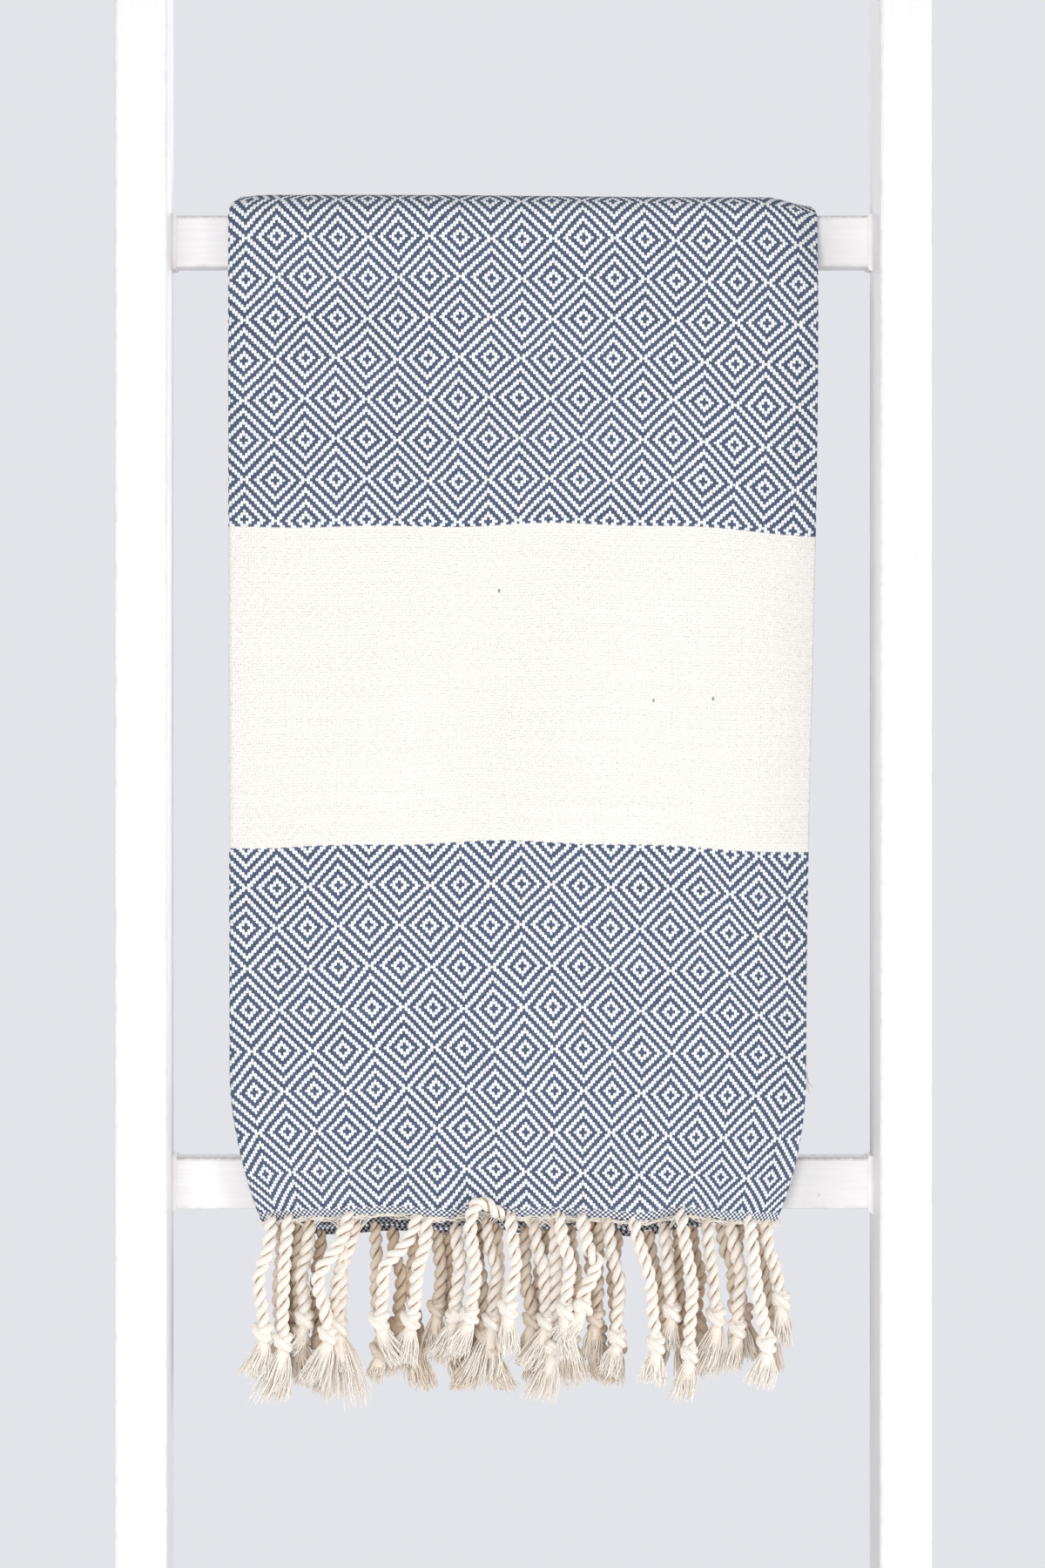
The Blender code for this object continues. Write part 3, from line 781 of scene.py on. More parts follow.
def hem_wave(x):
    """How far the front hem stands above its mean height."""
    at = [-125, -108, -90, -73, -55, -31, -18, 0, 12, 24, 37, 49, 67, 86, 104, 125]
    rise = [-2.4, -1.6, -0.2, 0.4, 1.4, -0.4, 2.2, -0.2, 0.6, -0.6, -0.4, -1.8, 1.2, -1.0, -1.7, -2.6]
    return np.interp(np.asarray(x) * 1000, at, rise) / 1000


def hem_drop(layer, x):
    """How much lower each layer behind the front one ends."""
    if layer == 3:
        return np.zeros_like(x)
    shown = 0.30 + 0.70 * smooth(-0.100, -0.088, x) * (1 - smooth(0.070, 0.082, x))
    shown = shown * (1 - 0.75 * smooth(0.022, 0.030, x) * (1 - smooth(0.034, 0.044, x)))
    wave = 0.0006 * np.sin(x * 61 + layer * 2.1)
    return (0.0040 + 0.0016 * (2 - layer)) * shown + wave


def front_swell(x, z):
    """Slow waves of the hanging front, deeper towards the hem, and one soft pleat right of the middle."""
    loose = 1 - smooth(1.00, 1.36, z)
    swell = 0.00075 * np.sin(x * 46 + 0.6) * np.sin(z * 17 + 1.1) + 0.0005 * np.sin(x * 83 - z * 21)
    pleat_x = 0.0515 + 0.004 * np.sin((z - 0.97) * 18)
    pleat = 0.0016 * np.exp(-(((x - pleat_x) / 0.0042) ** 2)) * (1 - smooth(0.982, 1.045, z))
    ripple = 0.0009 * np.sin(x * 150 + 1.0) * (1 - smooth(0.976, 1.012, z))
    return -(swell * (0.35 + loose) + pleat + ripple)


def section():
    """Across the folded cloth, selvedge to selvedge: each column's x, its height in the stack and its layer."""
    left = -HALF_WIDTH + 0.0004 + CLOTH / 2 + 1.5 * LAYER
    right = HALF_WIDTH - CLOTH / 2 - 0.5 * LAYER
    rows = []

    def run(x_from, x_to, layer, count):
        for x in np.linspace(x_from, x_to, count, endpoint=False):
            rows.append((x, (layer + 0.5) * LAYER, layer))

    def fold(centre, radius, height, side, up, layers, count):
        for step in range(count):
            turn = math.pi * step / count
            x = centre + side * radius * math.sin(turn)
            rows.append((x, height - up * radius * math.cos(turn), layers[step * 2 >= count]))

    run(0.1045, left, 0, 26)
    fold(left, 1.5 * LAYER, 2.0 * LAYER, -1, 1, (0, 3), 10)
    run(left, right, 3, 84)
    fold(right, 0.5 * LAYER, 3.0 * LAYER, 1, -1, (3, 2), 8)
    run(right, left, 2, 26)
    fold(left, 0.5 * LAYER, 2.0 * LAYER, -1, -1, (2, 1), 6)
    run(left, 0.1030, 1, 26)
    rows.append((0.1030, 1.5 * LAYER, 1))
    return np.array(rows)


def stations():
    """Along the cloth, hem to hem: (base y, base z, normal y, normal z, side of the middle, where)."""
    rows = []

    def down_or_up(y, normal, z_from, z_to, sign, where, count, ease=1.0):
        for step in range(count):
            share = (step / count) ** ease
            rows.append((y, z_from + (z_to - z_from) * share, normal, 0.0, sign, where))

    def corner(y, start, end, sign, where, count):
        for step in range(count):
            angle = start + (end - start) * step / count
            rows.append((y, CORE_TOP, -math.cos(angle), math.sin(angle), sign, where))

    def top(y_from, y_to, sign, where, count):
        for step in range(count):
            rows.append((y_from + (y_to - y_from) * (step / count), CORE_TOP, 0.0, 1.0, sign, where))

    fold_z = BACK_FOLD_Z + GAP + 3.5 * LAYER + CLOTH / 2
    right_angle = math.pi / 2
    down_or_up(CORE_FRONT, -1.0, HEM_Z, CORE_TOP, 1, 0, 108, 1.12)
    corner(CORE_FRONT, 0, right_angle, 1, 1, 9)
    top(CORE_FRONT, CORE_BACK, 1, 2, 5)
    corner(CORE_BACK, right_angle, math.pi, 1, 3, 9)
    down_or_up(CORE_BACK, 1.0, CORE_TOP, fold_z, 1, 4, 46)
    for step in range(10):
        angle = math.pi * step / 10
        rows.append((CORE_BACK, fold_z, math.cos(angle), -math.sin(angle), 1, 5))
    down_or_up(CORE_BACK, 1.0, fold_z, CORE_TOP, -1, 6, 18)
    corner(CORE_BACK, math.pi, right_angle, -1, 7, 5)
    top(CORE_BACK, CORE_FRONT, -1, 8, 3)
    corner(CORE_FRONT, right_angle, 0, -1, 9, 5)
    down_or_up(CORE_FRONT, -1.0, CORE_TOP, INNER_HEM_Z, -1, 10, 16)
    rows.append((CORE_FRONT, INNER_HEM_Z, -1.0, 0.0, -1, 10))
    return np.array(rows)


def folded_cloth():
    """(points, cloth map) of the whole throw, folded in four across and doubled along, over the rung."""
    columns, rows = section(), stations()
    x0, height, layer = (columns[:, c][None, :] for c in range(3))
    base_y, base_z, normal_y, normal_z, sign, where = (rows[:, c][:, None] for c in range(6))
    x = np.repeat(x0, len(rows), axis=0)
    side = np.abs(x0) / HALF_WIDTH
    # The stack is pressed thinner over the rung towards its folded edges. The selvedges stop short of the right
    # edge, so the layers outside them sink there.
    over = smooth(CORE_TOP - 0.030, CORE_TOP, base_z)
    press = 1 - over * (0.13 * smooth(-0.060, 0.085, x0) + 0.10 * smooth(0.112, 0.124, -x0))
    sunk = np.where(sign > 0, 4 * LAYER, 0.0) * smooth(0.1050, 0.1255, x0) * (layer > 1.5) * over * 0.92
    rung_gap = ARRIS + 0.00045
    away = GAP + height
    from_core = (REACH + sign * away - rung_gap) * press + rung_gap - sunk
    y = base_y + from_core * normal_y
    z = base_z + from_core * normal_z
    turning = where == 5
    y = np.where(turning, base_y + REACH + away * normal_y, y)
    z = np.where(turning, base_z + away * normal_z, z)
    # Folded corners round off over the rung.
    round_off = np.where(x0 > 0, 0.0050, 0.0078)
    below_top = np.clip(z.max(axis=0)[None, :] + 0.0006 - z, 0, round_off)
    corner = round_off - np.sqrt(np.maximum(round_off**2 - (round_off - below_top) ** 2, 0))
    x = x - np.sign(x) * corner * smooth(0.50, 1.0, side) * (z > CORE_TOP - 0.012)
    # The front hangs free: its lower corners draw in, its hems wave and each layer ends at its own height.
    front = where == 0
    low = np.clip((1.0395 - z) / (1.0395 - HEM_Z), 0, 1)
    draw = np.where(x > 0, 0.0128, 0.0142) * low ** np.where(x > 0, 2.25, 2.0) * side**3.2
    x = np.where(front, x - np.sign(x) * draw, x)
    lean = np.where(x > 0, 0.0052, 0.0006) * smooth(1.36, 1.03, z) * side**3
    behind = (where == 4) | (where == 5) | (where == 6)
    back_lean = np.where(behind, 0.0022, 0.0) * smooth(1.36, 1.30, z)
    x = x - np.sign(x) * (lean + back_lean * side**3)
    drop = np.zeros_like(x)
    for number in range(4):
        mask = np.abs(layer - number) < 0.5
        drop = np.where(mask, hem_drop(number, x), drop)
    hem_share = np.clip((1.010 - z) / (1.010 - HEM_Z), 0, 1)
    z = np.where(front, z + (hem_wave(x) - drop) * hem_share, z)
    swell = front_swell(x, z)
    y = np.where(front, y + swell, y)
    inner_front = where == 10
    inner_low = np.clip((1.13 - z) / (1.13 - INNER_HEM_Z), 0, 1)
    inner_drop = (3 - layer) * 0.0016 + 0.0012 * np.sin(x * 55)
    z = np.where(inner_front, z - (inner_drop - 0.0024) * inner_low, z)
    # The back is nearly flat, with one slow wave, and its long fold sags a little in the middle.
    slack = smooth(1.39, 1.20, z)
    wave = 0.0009 * np.sin(x * 31 + z * 9) + 0.0005 * np.sin(x * 74 - z * 13)
    y = np.where(behind, y + wave * slack, y)
    z = np.where(behind, z - 0.0011 * np.cos(x * 23 + 0.4) * smooth(1.10, BACK_FOLD_Z, z), z)
    # Real lengths on the cloth, along the layer that shows.
    flat_across = lengths_along(columns[:, :2])
    shown = GAP + 3.5 * LAYER
    reach = REACH + sign * shown
    line_y = base_y + np.where(turning, REACH + shown * normal_y, reach * normal_y)
    line_z = base_z + np.where(turning, shown * normal_z, reach * normal_z)
    flat_along = lengths_along(np.hstack([line_y, line_z]))
    u = np.repeat(flat_across[None, :], len(rows), axis=0)
    v = np.repeat(flat_along[:, None], len(columns), axis=1)
    return np.stack([x, y, z], axis=2), u, v


def make_throw(points, u, v, finishes):
    """One continuous sheet, given its thickness at the end."""
    rows, columns = u.shape
    # The threads droop a little towards the folded edges, and shift where the cloth is handled.
    x, z = points[:, :, 0], points[:, :, 2]
    free = smooth(0.004, 0.030, v) * smooth(CLOTH_LENGTH - 0.004, CLOTH_LENGTH - 0.030, v)
    droop = (x / HALF_WIDTH) ** 2 * np.where(x < 0, 0.0018, 0.0044)
    stray = 0.0007 * np.sin(x * 37 + v * 11) * np.sin(v * 23 + 0.7) + 0.0005 * np.sin(x * 90 + v * 35)
    v_map = v + (droop + stray) * free
    u_map = u + (0.0007 * np.sin(v * 26 + x * 12) + 0.0004 * np.sin(v * 71 + 1.3)) * free
    u_pattern = u_map - drift(DRIFT_SIDEWAYS, x, z)
    v_pattern = v_map + drift(DRIFT_DOWN, x, z)
    mesh = bpy.data.meshes.new("folded_throw")
    i, j = np.meshgrid(np.arange(rows - 1), np.arange(columns - 1), indexing="ij")
    i, j = i.ravel(), j.ravel()
    quads = np.stack(
        [i * columns + j, i * columns + j + 1, (i + 1) * columns + j + 1, (i + 1) * columns + j], axis=1
    )
    mesh.from_pydata(points.reshape(-1, 3), [], quads.tolist())
    for name, across, along in (("Cloth", u_map, v_map), ("Draft", u_pattern, v_pattern)):
        layer = mesh.uv_layers.new(name=name)
        flat = np.stack([across.ravel(), along.ravel()], axis=1)
        layer.data.foreach_set("uv", flat[quads.ravel()].astype(np.float32).ravel())
    for finish in finishes:
        mesh.materials.append(finish)
    mesh.polygons.foreach_set("use_smooth", [True] * len(mesh.polygons))
    mesh.update()
    throw = bpy.data.objects.new("folded_throw", mesh)
    bpy.context.scene.collection.objects.link(throw)
    solid = throw.modifiers.new("Cloth thickness", "SOLIDIFY")
    solid.thickness = CLOTH
    solid.offset = 0.0
    solid.material_offset = 1
    make_active(throw)
    bpy.ops.object.modifier_apply(modifier=solid.name)
    return throw


# ---------------------------------------------------------------- the fringe

ROPE = 0.00285
LAY = 0.0108
ROPE_FIBRES = 46
HEM_THREADS = 260
# One row for each layer of cloth, front first. Each rope: where it leaves the hem, its x halfway down, its
# knot's x and height, its tuft's end x and height, all in millimetres, x from the middle and height from the
# lowest tuft.
ROPES = (
    (
        (-106, -110, -109, 32, -111, 12), (-99, -101, -101, 28, -104, 2), (-73, -86, -82, 31, -88, 10),
        (-44, -58, -60, 37, -54, 18), (-40, -44, -47, 37, -51, 19), (-9, -21, -22, 39, -30, 23),
        (-5, -3, -6, 42, -7, 22), (16, 20, 18, 41, 18, 20), (25, 31, 25, 43, 16, 28),
        (47, 54, 56, 27, 55, 9), (67, 71, 70, 23, 68, 3), (96, 98, 103, 27, 101, 9),
    ),
    (
        (-90, -93, -92, 37, -96, 20), (-76, -76, -78, 34, -72, 1), (-70, -79, -80, 31, -75, 12),
        (-28, -26, -29, 38, -33, 20), (-15, -12, -13, 36, -15, 10), (5, 9, 10, 36, 4, 16),
        (14, 14, 12, 25, 9, 2), (36, 40, 40, 29, 36, 13), (60, 62, 63, 40, 62, 24),
        (78, 80, 82, 38, 80, 13), (88, 92, 91, 33, 88, 15), (103, 106, 109, 45, 110, 25),
    ),
    (
        (-101, -103, -102, 23, -105, 3), (-94, -96, -94, 30, -92, 8), (-62, -62, -60, 23, -64, 11),
        (-36, -34, -36, 41, -38, 17), (-22, -18, -16, 30, -20, 7), (-11, -11, -12, 25, -9, 6),
        (1, 1, 4, 36, 0, 16), (20, 23, 21, 30, 19, 8), (33, 32, 31, 37, 29, 19),
        (53, 57, 60, 33, 59, 17), (84, 88, 91, 41, 92, 19), (100, 102, 104, 35, 106, 14),
    ),
    (
        (-96, -98, -98, 37, -95, 16), (-85, -88, -86, 26, -82, 6), (-55, -52, -52, 33, -49, 12),
        (-46, -47, -44, 27, -44, 6), (-31, -32, -29, 29, -26, 9), (-18, -20, -22, 25, -24, 5),
        (9, 7, 6, 28, 3, 9), (29, 29, 32, 30, 34, 10), (40, 38, 40, 25, 39, 8),
        (66, 66, 68, 30, 72, 10), (72, 75, 74, 34, 76, 12), (92, 90, 94, 39, 96, 17),
    ),
)
ROW_Y = (-0.0126, -0.0086, -0.0046, -0.0006)
# How light each row's ropes are: the rows further back are darker with painted shade.
ROW_PAINTED_SHADE = (0.97, 0.88, 0.62, 0.45)


def rope_strands(soft, path, tone, phase, radius=ROPE, sides=10):
    """Two uneven strands laid round each other along the path, drawn in where they leave the hem."""
    along = directions(path)
    step = lengths_along(path)
    front = np.cross(along, np.array([0.0, 1.0, 0.0]))
    front /= np.linalg.norm(front, axis=1)[:, None]
    deep = np.cross(along, front)
    drawn_in = 0.62 + 0.38 * smooth(0.0, 0.0042, step)
    for strand in range(2):
        plump = 1 + 0.05 * np.sin(step * 700 + phase * 3 + strand * 2) + 0.04 * np.sin(step * 1900 + phase * 5)
        angle = phase + math.pi * strand + 2 * math.pi * step / LAY + 0.22 * np.sin(step * 330 + phase)
        offset = np.cos(angle)[:, None] * front + np.sin(angle)[:, None] * deep
        centre = path + offset * (radius * 0.51 * drawn_in)[:, None]
        soft.tube(centre, radius * 0.56 * drawn_in * plump, sides, tone, strand * 0.05, inward=-offset)


def stray_fibres(soft, path, tone, rng, count, radius=ROPE):
    """Fine fibres that stand off the rope."""
    for _ in range(count):
        index = int(rng.integers(3, len(path) - 1))
        angle = rng.uniform(0, 2 * math.pi)
        out = np.array([math.cos(angle), -abs(math.sin(angle)), 0.0])
        reach = rng.uniform(0.0005, 0.0018)
        lean = np.array([rng.uniform(-0.4, 0.4), rng.uniform(-0.3, 0.3), rng.uniform(-1.3, 0.9)]) * reach
        foot = path[index] + out * radius * 0.93
        fibre = [foot, foot + out * reach * 0.5 + lean * 0.3, foot + out * reach * 0.7 + lean]
        soft.tube(fibre, 0.00006, 3, tone, kind=1)


def tie_knot(soft, at, tone, turn, size=1.0, sides=9):
    """An overhand knot: two slanting wraps round the rope and one strand crossing over them."""
    around = Matrix.Rotation(turn, 3, "Z")

    def placed(points):
        return np.array([around @ Vector(point) for point in points]) * size + at

    angle = np.linspace(0, 2 * math.pi, 21)
    for height, slant, reach in ((0.0013, 0.0009, 0.0024), (-0.0014, -0.0007, 0.0022)):
        loop = [(reach * math.cos(a), reach * math.sin(a), height + slant * math.sin(a + 0.8)) for a in angle]
        soft.tube(placed(loop), 0.0018 * size, sides, tone, 0.02, 0.92)
    cross = [
        (-0.0030, -0.0012, 0.0026),
        (-0.0016, -0.0034, 0.0014),
        (0.0012, -0.0037, -0.0010),
        (0.0027, -0.0014, -0.0028),
    ]
    soft.tube(through(placed(cross), 0.0011), 0.00155 * size, sides, tone, 0.04)
    core = [(0, 0, 0.0036), (0, 0, 0.0018), (0, 0, 0), (0, 0, -0.0018), (0, 0, -0.0036)]
    soft.tube(placed(core), np.array([0.0019, 0.0028, 0.0030, 0.0028, 0.0019]) * size, sides, tone)


def spread_tuft(soft, start, end, tone, rng, threads=80, sides=4):
    """Loose threads fanning out below the knot, round a soft core."""
    down = end - start
    length = np.linalg.norm(down)
    down = down / length
    deep = np.array([0.0, 1.0, 0.0])
    across = np.cross(deep, down)
    across /= np.linalg.norm(across)
    core = start + down * length * np.array([0.0, 0.15, 0.35, 0.55])[:, None]
    # The core is darker: painted shade inside the tuft.
    soft.tube(core, [0.0022, 0.0026, 0.0024, 0.0010], 8, tone * 0.75, kind=1)
    spread = rng.uniform(0.0052, 0.0078) * length / 0.018
    curl = rng.uniform(-0.36, 0.36)
    clumps = 11
    lean = rng.uniform(-0.0011, 0.0011, (clumps, 2))
    reaches = rng.uniform(0.80, 1.05, clumps)
    s = np.linspace(0, 1, 8)
    open_out = 0.45 * np.sin(np.minimum(s * 1.6, 1.0) * math.pi / 2) + 0.55 * s**1.3
    for number in range(threads):
        clump = number % clumps
        out = math.sqrt((number + 0.5) / threads)
        angle = 2 * math.pi * clump / clumps + rng.normal(0, 0.32)
        side, depth = out * math.cos(angle), out * math.sin(angle)
        reach = length * reaches[clump] * rng.uniform(0.92, 1.05)
        wave = rng.uniform(-0.0009, 0.0009, 2)
        turn = rng.uniform(0, 2 * math.pi, 2)
        sideways = side * (0.0019 + (spread - 0.0019) * open_out) + curl * length * s * s * 0.5
        sideways = sideways + lean[clump, 0] * s + wave[0] * s * np.sin(s * 9.5 + turn[0])
        inwards = depth * (0.0018 + 0.0014 * open_out) + lean[clump, 1] * s + wave[1] * s * np.sin(s * 7.5 + turn[1])
        points = start + down * (reach * s)[:, None] + across * sideways[:, None] + deep * inwards[:, None]
        # Each thread's own random tone, with painted shade near the knot.
        shade = np.clip(tone + rng.uniform(-0.22, 0.12) - 0.26 * (1 - s) ** 3, 0, 1)
        thick = rng.uniform(0.00020, 0.00029) * (1 - 0.30 * s**3)
        soft.tube(points, thick, sides, shade, number * 0.003, kind=1)


def gather_threads(soft, x, y, z, tone, rng, count=9):
    """Warp ends that run along the hem into the top of a rope."""
    for number in range(count):
        reach = rng.uniform(0.002, 0.0085) * (1 if number % 2 else -1)
        hem_z = HEM_Z + float(hem_wave(x + reach)) + rng.uniform(-0.0010, 0.0008)
        lift = rng.uniform(-0.0009, 0.0002)
        points = [
            (x + reach, y + 0.0004, hem_z),
            (x + reach * 0.72, y + lift, hem_z - 0.0012),
            (x + reach * 0.35, y + lift, z - 0.0002),
            (x + reach * 0.10, y, z - 0.0030),
        ]
        soft.tube(through(points, 0.0024), 0.00030, 3, tone, kind=1)


def make_hem_ends(materials):
    """The twisted-in warp ends that edge the front hem between the ropes, fluffy and uneven."""
    rng = np.random.default_rng(5)
    soft = SoftMesh()
    half = HALF_WIDTH - 0.0165
    for number in range(HEM_THREADS):
        x = -half + 2 * half * (number + rng.uniform(0, 1)) / HEM_THREADS
        length = rng.uniform(0.0030, 0.0095)
        rise = rng.uniform(-0.0012, 0.0004)
        bow = rng.uniform(-0.0014, 0.0006)
        points = []
        for share in np.linspace(0, 1, 5):
            at = x + (share - 0.5) * length
            z = HEM_Z + float(hem_wave(at)) - 0.0002 + rise
            z = z + bow * math.sin(math.pi * share) + rng.uniform(-0.0002, 0.0002)
            y = MIDDLE - GAP - 3.5 * LAYER + float(front_swell(at, z)) - CLOTH / 2 - rng.uniform(-0.0004, 0.0003)
            points.append((at, y, z))
        soft.tube(points, rng.uniform(0.00016, 0.00028), 3, rng.uniform(0.75, 1.0), kind=1)
    return soft.finish("hem_thread_ends", materials)


def add_tassel(soft, row, number, rope, rng):
    """One rope with its knot and tuft."""
    top_x, mid_x, knot_x, knot_h, tuft_x, tuft_h = rope
    layer = 3 - row
    base = FRINGE_LOW.z
    leave_x = top_x / 1000
    layer_y = MIDDLE - GAP - (layer + 0.5) * LAYER
    plane = ROW_Y[row] + rng.uniform(-0.0006, 0.0006)
    hem_z = HEM_Z + float(hem_wave(leave_x)) - float(hem_drop(layer, np.array(leave_x)))
    if row:
        hem_z = min(hem_z, HEM_Z - 0.0010)
    tone = float(np.clip(ROW_PAINTED_SHADE[row] + rng.uniform(-0.06, 0.04), 0, 1))
    knot = np.array([knot_x / 1000, plane - 0.0003, base + knot_h / 1000])
    tuft = np.array([tuft_x / 1000, plane + rng.uniform(-0.0010, 0.0010), base + tuft_h / 1000])
    middle_z = (hem_z + knot[2]) / 2
    points = [
        (leave_x, layer_y, hem_z + 0.0016),
        (leave_x + (mid_x - top_x) * 0.0001, (layer_y + plane) / 2, hem_z - 0.0035),
        (leave_x + (mid_x - top_x) * 0.00045, plane, hem_z - 0.0125),
        (mid_x / 1000 + rng.uniform(-0.0007, 0.0007), plane, middle_z),
        (
            (mid_x * 0.35 + knot_x * 0.65) / 1000 + rng.uniform(-0.0006, 0.0006),
            plane,
            middle_z * 0.42 + knot[2] * 0.58,
        ),
        (knot[0], knot[1], knot[2] + 0.0020),
    ]
    if row == 0 and number == 5:
        # This one is caught: it comes up in front of the hem, turns over and hangs down again.
        front_y = OUTER_LOW.y - ROPE - 0.0012
        points = [
            (leave_x + 0.0010, layer_y, hem_z - 0.0010),
            (leave_x - 0.0035, front_y + 0.0008, hem_z + 0.0026),
            (leave_x - 0.0074, front_y, hem_z + 0.0058),
            (leave_x - 0.0112, front_y, hem_z + 0.0036),
            (leave_x - 0.0130, plane, hem_z - 0.0045),
            (leave_x - 0.0120, plane, hem_z - 0.0160),
            (mid_x / 1000 + 0.0010, plane, middle_z - 0.004),
            (knot[0], knot[1], knot[2] + 0.0020),
        ]
    path = through(points, 0.00078)
    shaded = tone * (1 - 0.30 * smooth(0.010, 0.0, np.linspace(0, 0.055, len(path))) * (row > 0))
    sway = np.linspace(0, 1, len(path))
    bend = rng.uniform(0.0002, 0.0006) * np.sin(sway * math.pi)
    path[:, 0] += bend * np.sin(sway * rng.uniform(6, 11) + rng.uniform(0, 6))
    rope_strands(soft, path, shaded, rng.uniform(0, 2 * math.pi), ROPE * rng.uniform(0.93, 1.04))
    if row < 2:
        stray_fibres(soft, path, tone, rng, ROPE_FIBRES)
    tie_knot(soft, knot, tone, rng.uniform(-0.9, 0.9), rng.uniform(0.94, 1.08))
    spread_tuft(soft, knot - np.array([0, 0, 0.0026]), tuft, tone, rng)
    if row < 2:
        gather_threads(soft, leave_x, layer_y - 0.0002, hem_z, tone, rng)


def make_fringe(finishes):
    """Twelve tassels of the front layer, one piece each, and one piece for each row behind them."""
    rng = np.random.default_rng(11)
    made = []
    for row, ropes in enumerate(ROPES):
        soft = SoftMesh()
        for number, rope in enumerate(ropes):
            add_tassel(soft, row, number, rope, rng)
            if row == 0:
                piece = soft.finish(f"front_tassel_{number + 1:02d}", finishes)
                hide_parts(f"tassel_{number + 1:02d}")
                made.append(piece)
                soft = SoftMesh()
        if row:
            piece = soft.finish(f"tassel_row_{row + 1}", finishes)
            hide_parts("fringe_rear_rows")
            made.append(piece)
    return made


def make_inner_fringe(finishes):
    """The tassels of the other hem, which hang between the stacks."""
    rng = np.random.default_rng(23)
    soft = SoftMesh()
    low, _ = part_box("inner_fringe")
    count = 48
    for number in range(count):
        layer = number % 4
        x = -HALF_WIDTH + 0.006 + (2 * HALF_WIDTH - 0.012) * (number + 0.5) / count
        plane = 0.0004 + (0.0006 if number % 2 else -0.0006)
        top = INNER_HEM_Z - 0.0010
        knot = np.array([x + rng.uniform(-0.001, 0.001), plane, low.z + rng.uniform(0.024, 0.040)])
        points = [(x, plane, top + 0.003), (x, plane, top - 0.010), (x, plane, (top + knot[2]) / 2), tuple(knot)]
        path = through(points, 0.0012)
        # Painted shade: these hang between the stacks, so all are darker, by layer.
        tone = 0.62 + 0.08 * layer
        rope_strands(soft, path, tone, rng.uniform(0, 6.28), ROPE * 0.78, 7)
        tie_knot(soft, knot, tone, rng.uniform(-0.9, 0.9), 0.62, 6)
        end = knot + np.array([rng.uniform(-0.002, 0.002), 0, -rng.uniform(0.016, 0.022)])
        spread_tuft(soft, knot, end, tone, rng, 14, 3)
    return soft.finish("inner_hem_tassels", finishes)


# ---------------------------------------------------------------- the ladder


def make_filler_beads(finish):
    """The bead of filler round each rung end: a ring of softened box edge, dabbed on unevenly."""
    made = []
    for number in range(1, 5):
        low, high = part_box(f"rung_{number}")
        for side_name, side in (("left", -1), ("right", 1)):
            deselect_all()
            wide = 0.0022
            bpy.ops.mesh.primitive_cube_add(
                size=1,
                location=(side * (RAIL_LOW.x - wide / 2), (low.y + high.y) / 2, (low.z + high.z) / 2),
            )
            bead = bpy.context.object
            bead.name = f"filler_bead_{number}_{side_name}"
            bead.scale = (wide, high.y - low.y + 0.0016, high.z - low.z + 0.0016)
            bpy.ops.object.transform_apply(location=True, rotation=True, scale=True)
            bpy.ops.object.mode_set(mode="EDIT")
            shape = bmesh.from_edit_mesh(bead.data)
            for face in shape.faces:
                face.select = abs(face.normal.x) < 0.5
            bmesh.update_edit_mesh(bead.data)
            bpy.ops.mesh.select_mode(type="FACE")
            bpy.ops.mesh.subdivide(number_cuts=10)
            shape = bmesh.from_edit_mesh(bead.data)
            outer_x = side * (RAIL_LOW.x - wide)
            for vertex in shape.verts:
                vertex.select = False
                dy = vertex.co.y - (low.y + high.y) / 2
                dz = vertex.co.z - (low.z + high.z) / 2
                near_rung = abs(vertex.co.x - outer_x)
                slope = 1 - near_rung / wide
                uneven = 1 + 0.35 * math.sin(dy * 1900 + number * 3 + side) * math.sin(dz * 1500 + number)
                pull = 0.00030 * slope * uneven
                vertex.co.y -= math.copysign(min(pull, abs(dy)), dy) * (abs(dy) > (high.y - low.y) / 2 * 0.98)
                vertex.co.z -= math.copysign(min(pull, abs(dz)), dz) * (abs(dz) > (high.z - low.z) / 2 * 0.98)
                if side > 0 and dz < -0.0115 and dy < -0.0060:
                    vertex.co.z -= 0.0016 * (1 - slope) * (number > 2)
            bmesh.update_edit_mesh(bead.data)
            bpy.ops.object.mode_set(mode="OBJECT")
            soften = bead.modifiers.new("Soften", "BEVEL")
            soften.width = 0.00055
            soften.segments = 3
            soften.limit_method = "ANGLE"
            bpy.ops.object.modifier_apply(modifier=soften.name)
            bpy.ops.object.shade_smooth_by_angle(angle=math.radians(50))
            bead.data.materials.append(finish)
            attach(bead, "rack")
            made.append(bead)
    return made


def dress_ladder():
    """Better finishes for the ladder's own pieces."""
    finishes = {
        "_rail": rail_paint(),
        "rung_": rung_paint(),
        "plug_": plug_finish(),
        "screw_": screw_finish(),
        "dowel_": dowel_finish(),
        "_foot_pad": pad_finish(),
    }
    for name, obj in nodes.items():
        for part, finish in finishes.items():
            if name.startswith(part) or name.endswith(part):
                for place in obj.material_slots:
                    place.material = finish


# ---------------------------------------------------------------- studio


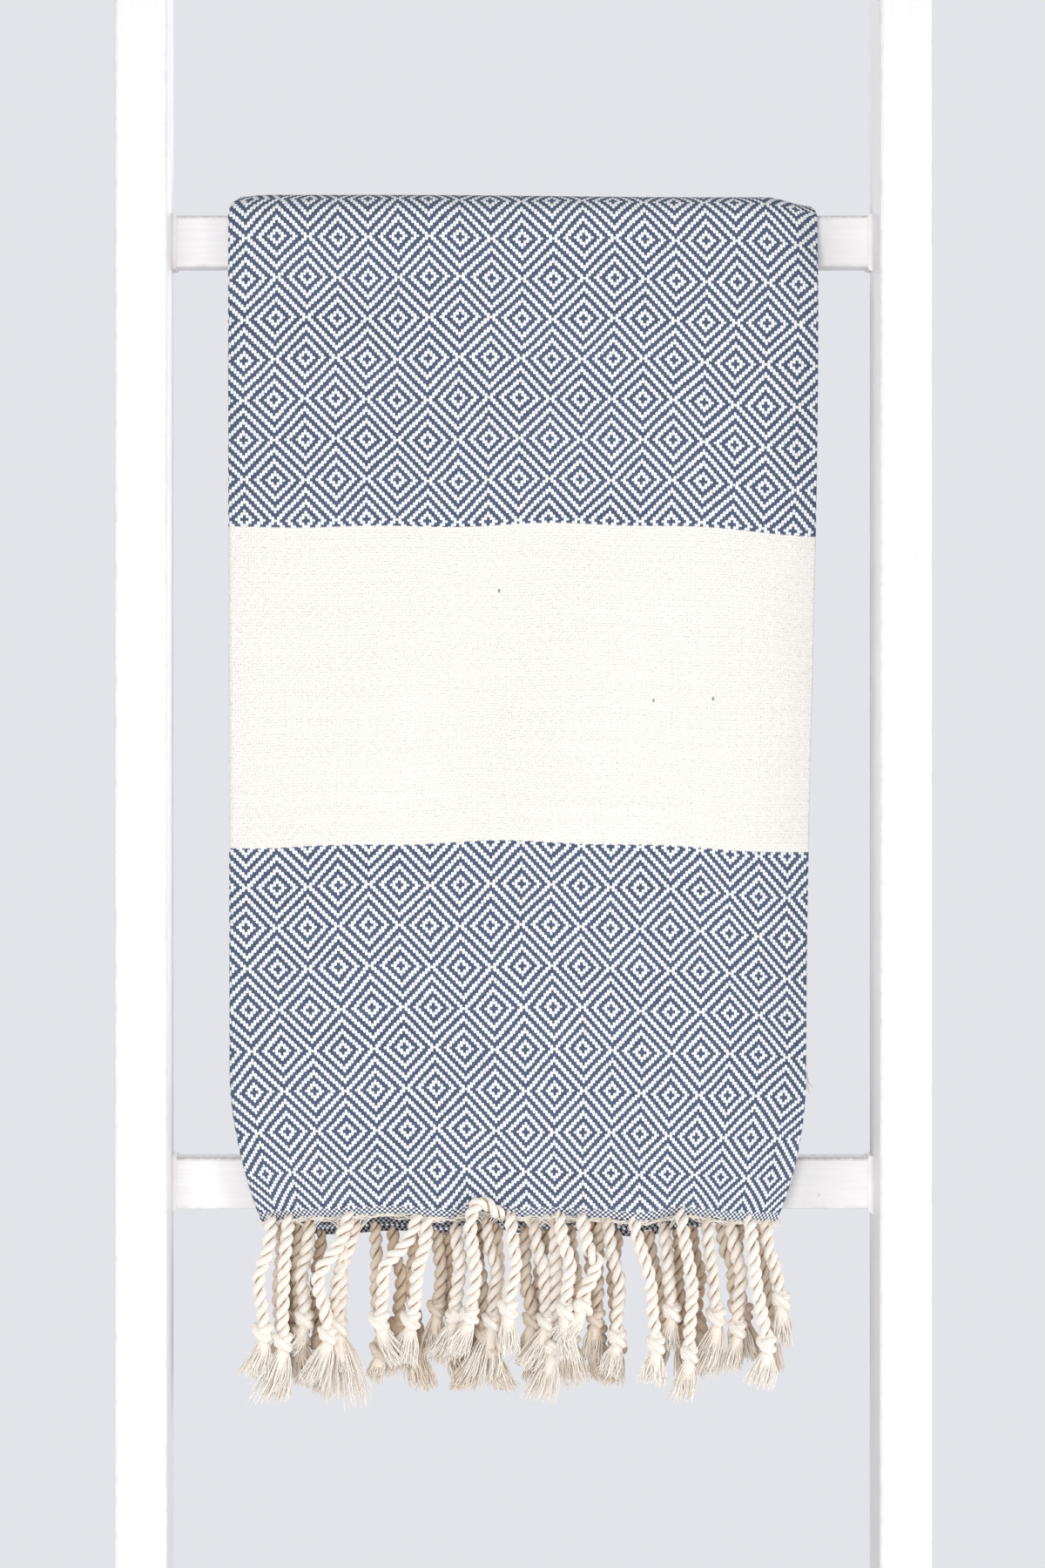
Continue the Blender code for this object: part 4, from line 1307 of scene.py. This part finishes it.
def make_studio():
    """A pale floor, an even pale surround and four soft lights."""
    deselect_all()
    bpy.ops.mesh.primitive_circle_add(vertices=96, radius=3.6, fill_type="NGON", location=(0, 0, -0.0006))
    floor = bpy.context.object
    floor.name = "studio_floor"
    material, t, shader = new_finish("Studio floor", 0.85, specular=0.2)
    grain = t.noise(t.object_place(), 6.0, 3.0)
    t.feed(shader.inputs["Base Color"], t.blend(grain, (0.90, 0.905, 0.925), (0.93, 0.935, 0.95)))
    floor.data.materials.append(material)

    world = bpy.data.worlds.new("Studio surround")
    world.use_nodes = True
    bpy.context.scene.world = world
    tree = world.node_tree
    shown = tree.nodes["Background"]
    shown.inputs["Color"].default_value = (0.768, 0.775, 0.812, 1)
    shown.inputs["Strength"].default_value = 1.0
    lighting = tree.nodes.new("ShaderNodeBackground")
    lighting.inputs["Color"].default_value = (0.94, 0.95, 1.0, 1)
    lighting.inputs["Strength"].default_value = 0.38
    path = tree.nodes.new("ShaderNodeLightPath")
    mix = tree.nodes.new("ShaderNodeMixShader")
    tree.links.new(path.outputs["Is Camera Ray"], mix.inputs[0])
    tree.links.new(lighting.outputs[0], mix.inputs[1])
    tree.links.new(shown.outputs[0], mix.inputs[2])
    tree.links.new(mix.outputs[0], tree.nodes["World Output"].inputs["Surface"])

    target = Vector((0, 0, 1.18))
    for name, place, size, power, colour in (
        ("Key softbox", (-0.60, -2.45, 1.22), (1.5, 1.5), 30.0, (1.0, 0.990, 0.975)),
        ("Side softbox", (1.75, -0.95, 1.05), (1.0, 1.6), 22.0, (1.0, 0.99, 0.985)),
        ("Fill softbox", (-1.75, -0.85, 1.05), (1.0, 1.6), 8.0, (1.0, 0.99, 0.99)),
        ("Rear softbox", (0.30, 2.30, 1.70), (2.0, 1.8), 20.0, (1.0, 1.0, 1.0)),
    ):
        light = bpy.data.lights.new(name, "AREA")
        light.shape = "RECTANGLE"
        light.size, light.size_y = size
        light.energy = power
        light.color = colour
        lamp = bpy.data.objects.new(name, light)
        lamp.location = place
        lamp.rotation_mode = "QUATERNION"
        lamp.rotation_quaternion = (target - Vector(place)).to_track_quat("-Z", "Y")
        bpy.context.scene.collection.objects.link(lamp)


def make_camera():
    """Level, square to the ladder and a little left of its middle."""
    camera = bpy.data.cameras.new("Camera")
    camera.sensor_fit = "AUTO"
    camera.sensor_width = 36.0
    camera.lens = 99.3
    camera.shift_x = 89 / 1800
    camera.shift_y = -76 / 1800
    camera.clip_start, camera.clip_end = 0.05, 50
    holder = bpy.data.objects.new("Camera", camera)
    holder.location = (-0.0328, RAIL_LOW.y - 1.807, 1.1877)
    holder.rotation_euler = (math.pi / 2, 0, 0)
    bpy.context.scene.collection.objects.link(holder)
    bpy.context.scene.camera = holder


# ---------------------------------------------------------------- put together

make_camera()
make_studio()
bpy.context.scene.view_settings.view_transform = "Standard"

cloth = folded_cloth()
CLOTH_WIDTH, CLOTH_LENGTH = (float(lengths.max()) for lengths in cloth[1:])
throw = make_throw(*cloth, (woven_finish("Woven cotton face", 0), woven_finish("Woven cotton reverse", 1)))
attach(throw, "throw")
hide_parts("throw_over_rung", "throw_front_outer", "throw_front_inner", "throw_back")

cotton = (cotton_finish(), thread_finish())
tassels = make_fringe(cotton)
hem_ends = make_hem_ends(cotton)
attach(hem_ends, "throw")
for tassel in tassels:
    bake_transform(tassel)
inner = make_inner_fringe(cotton)
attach(inner, "throw")
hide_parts("inner_fringe")

dress_ladder()
make_filler_beads(filler_finish())
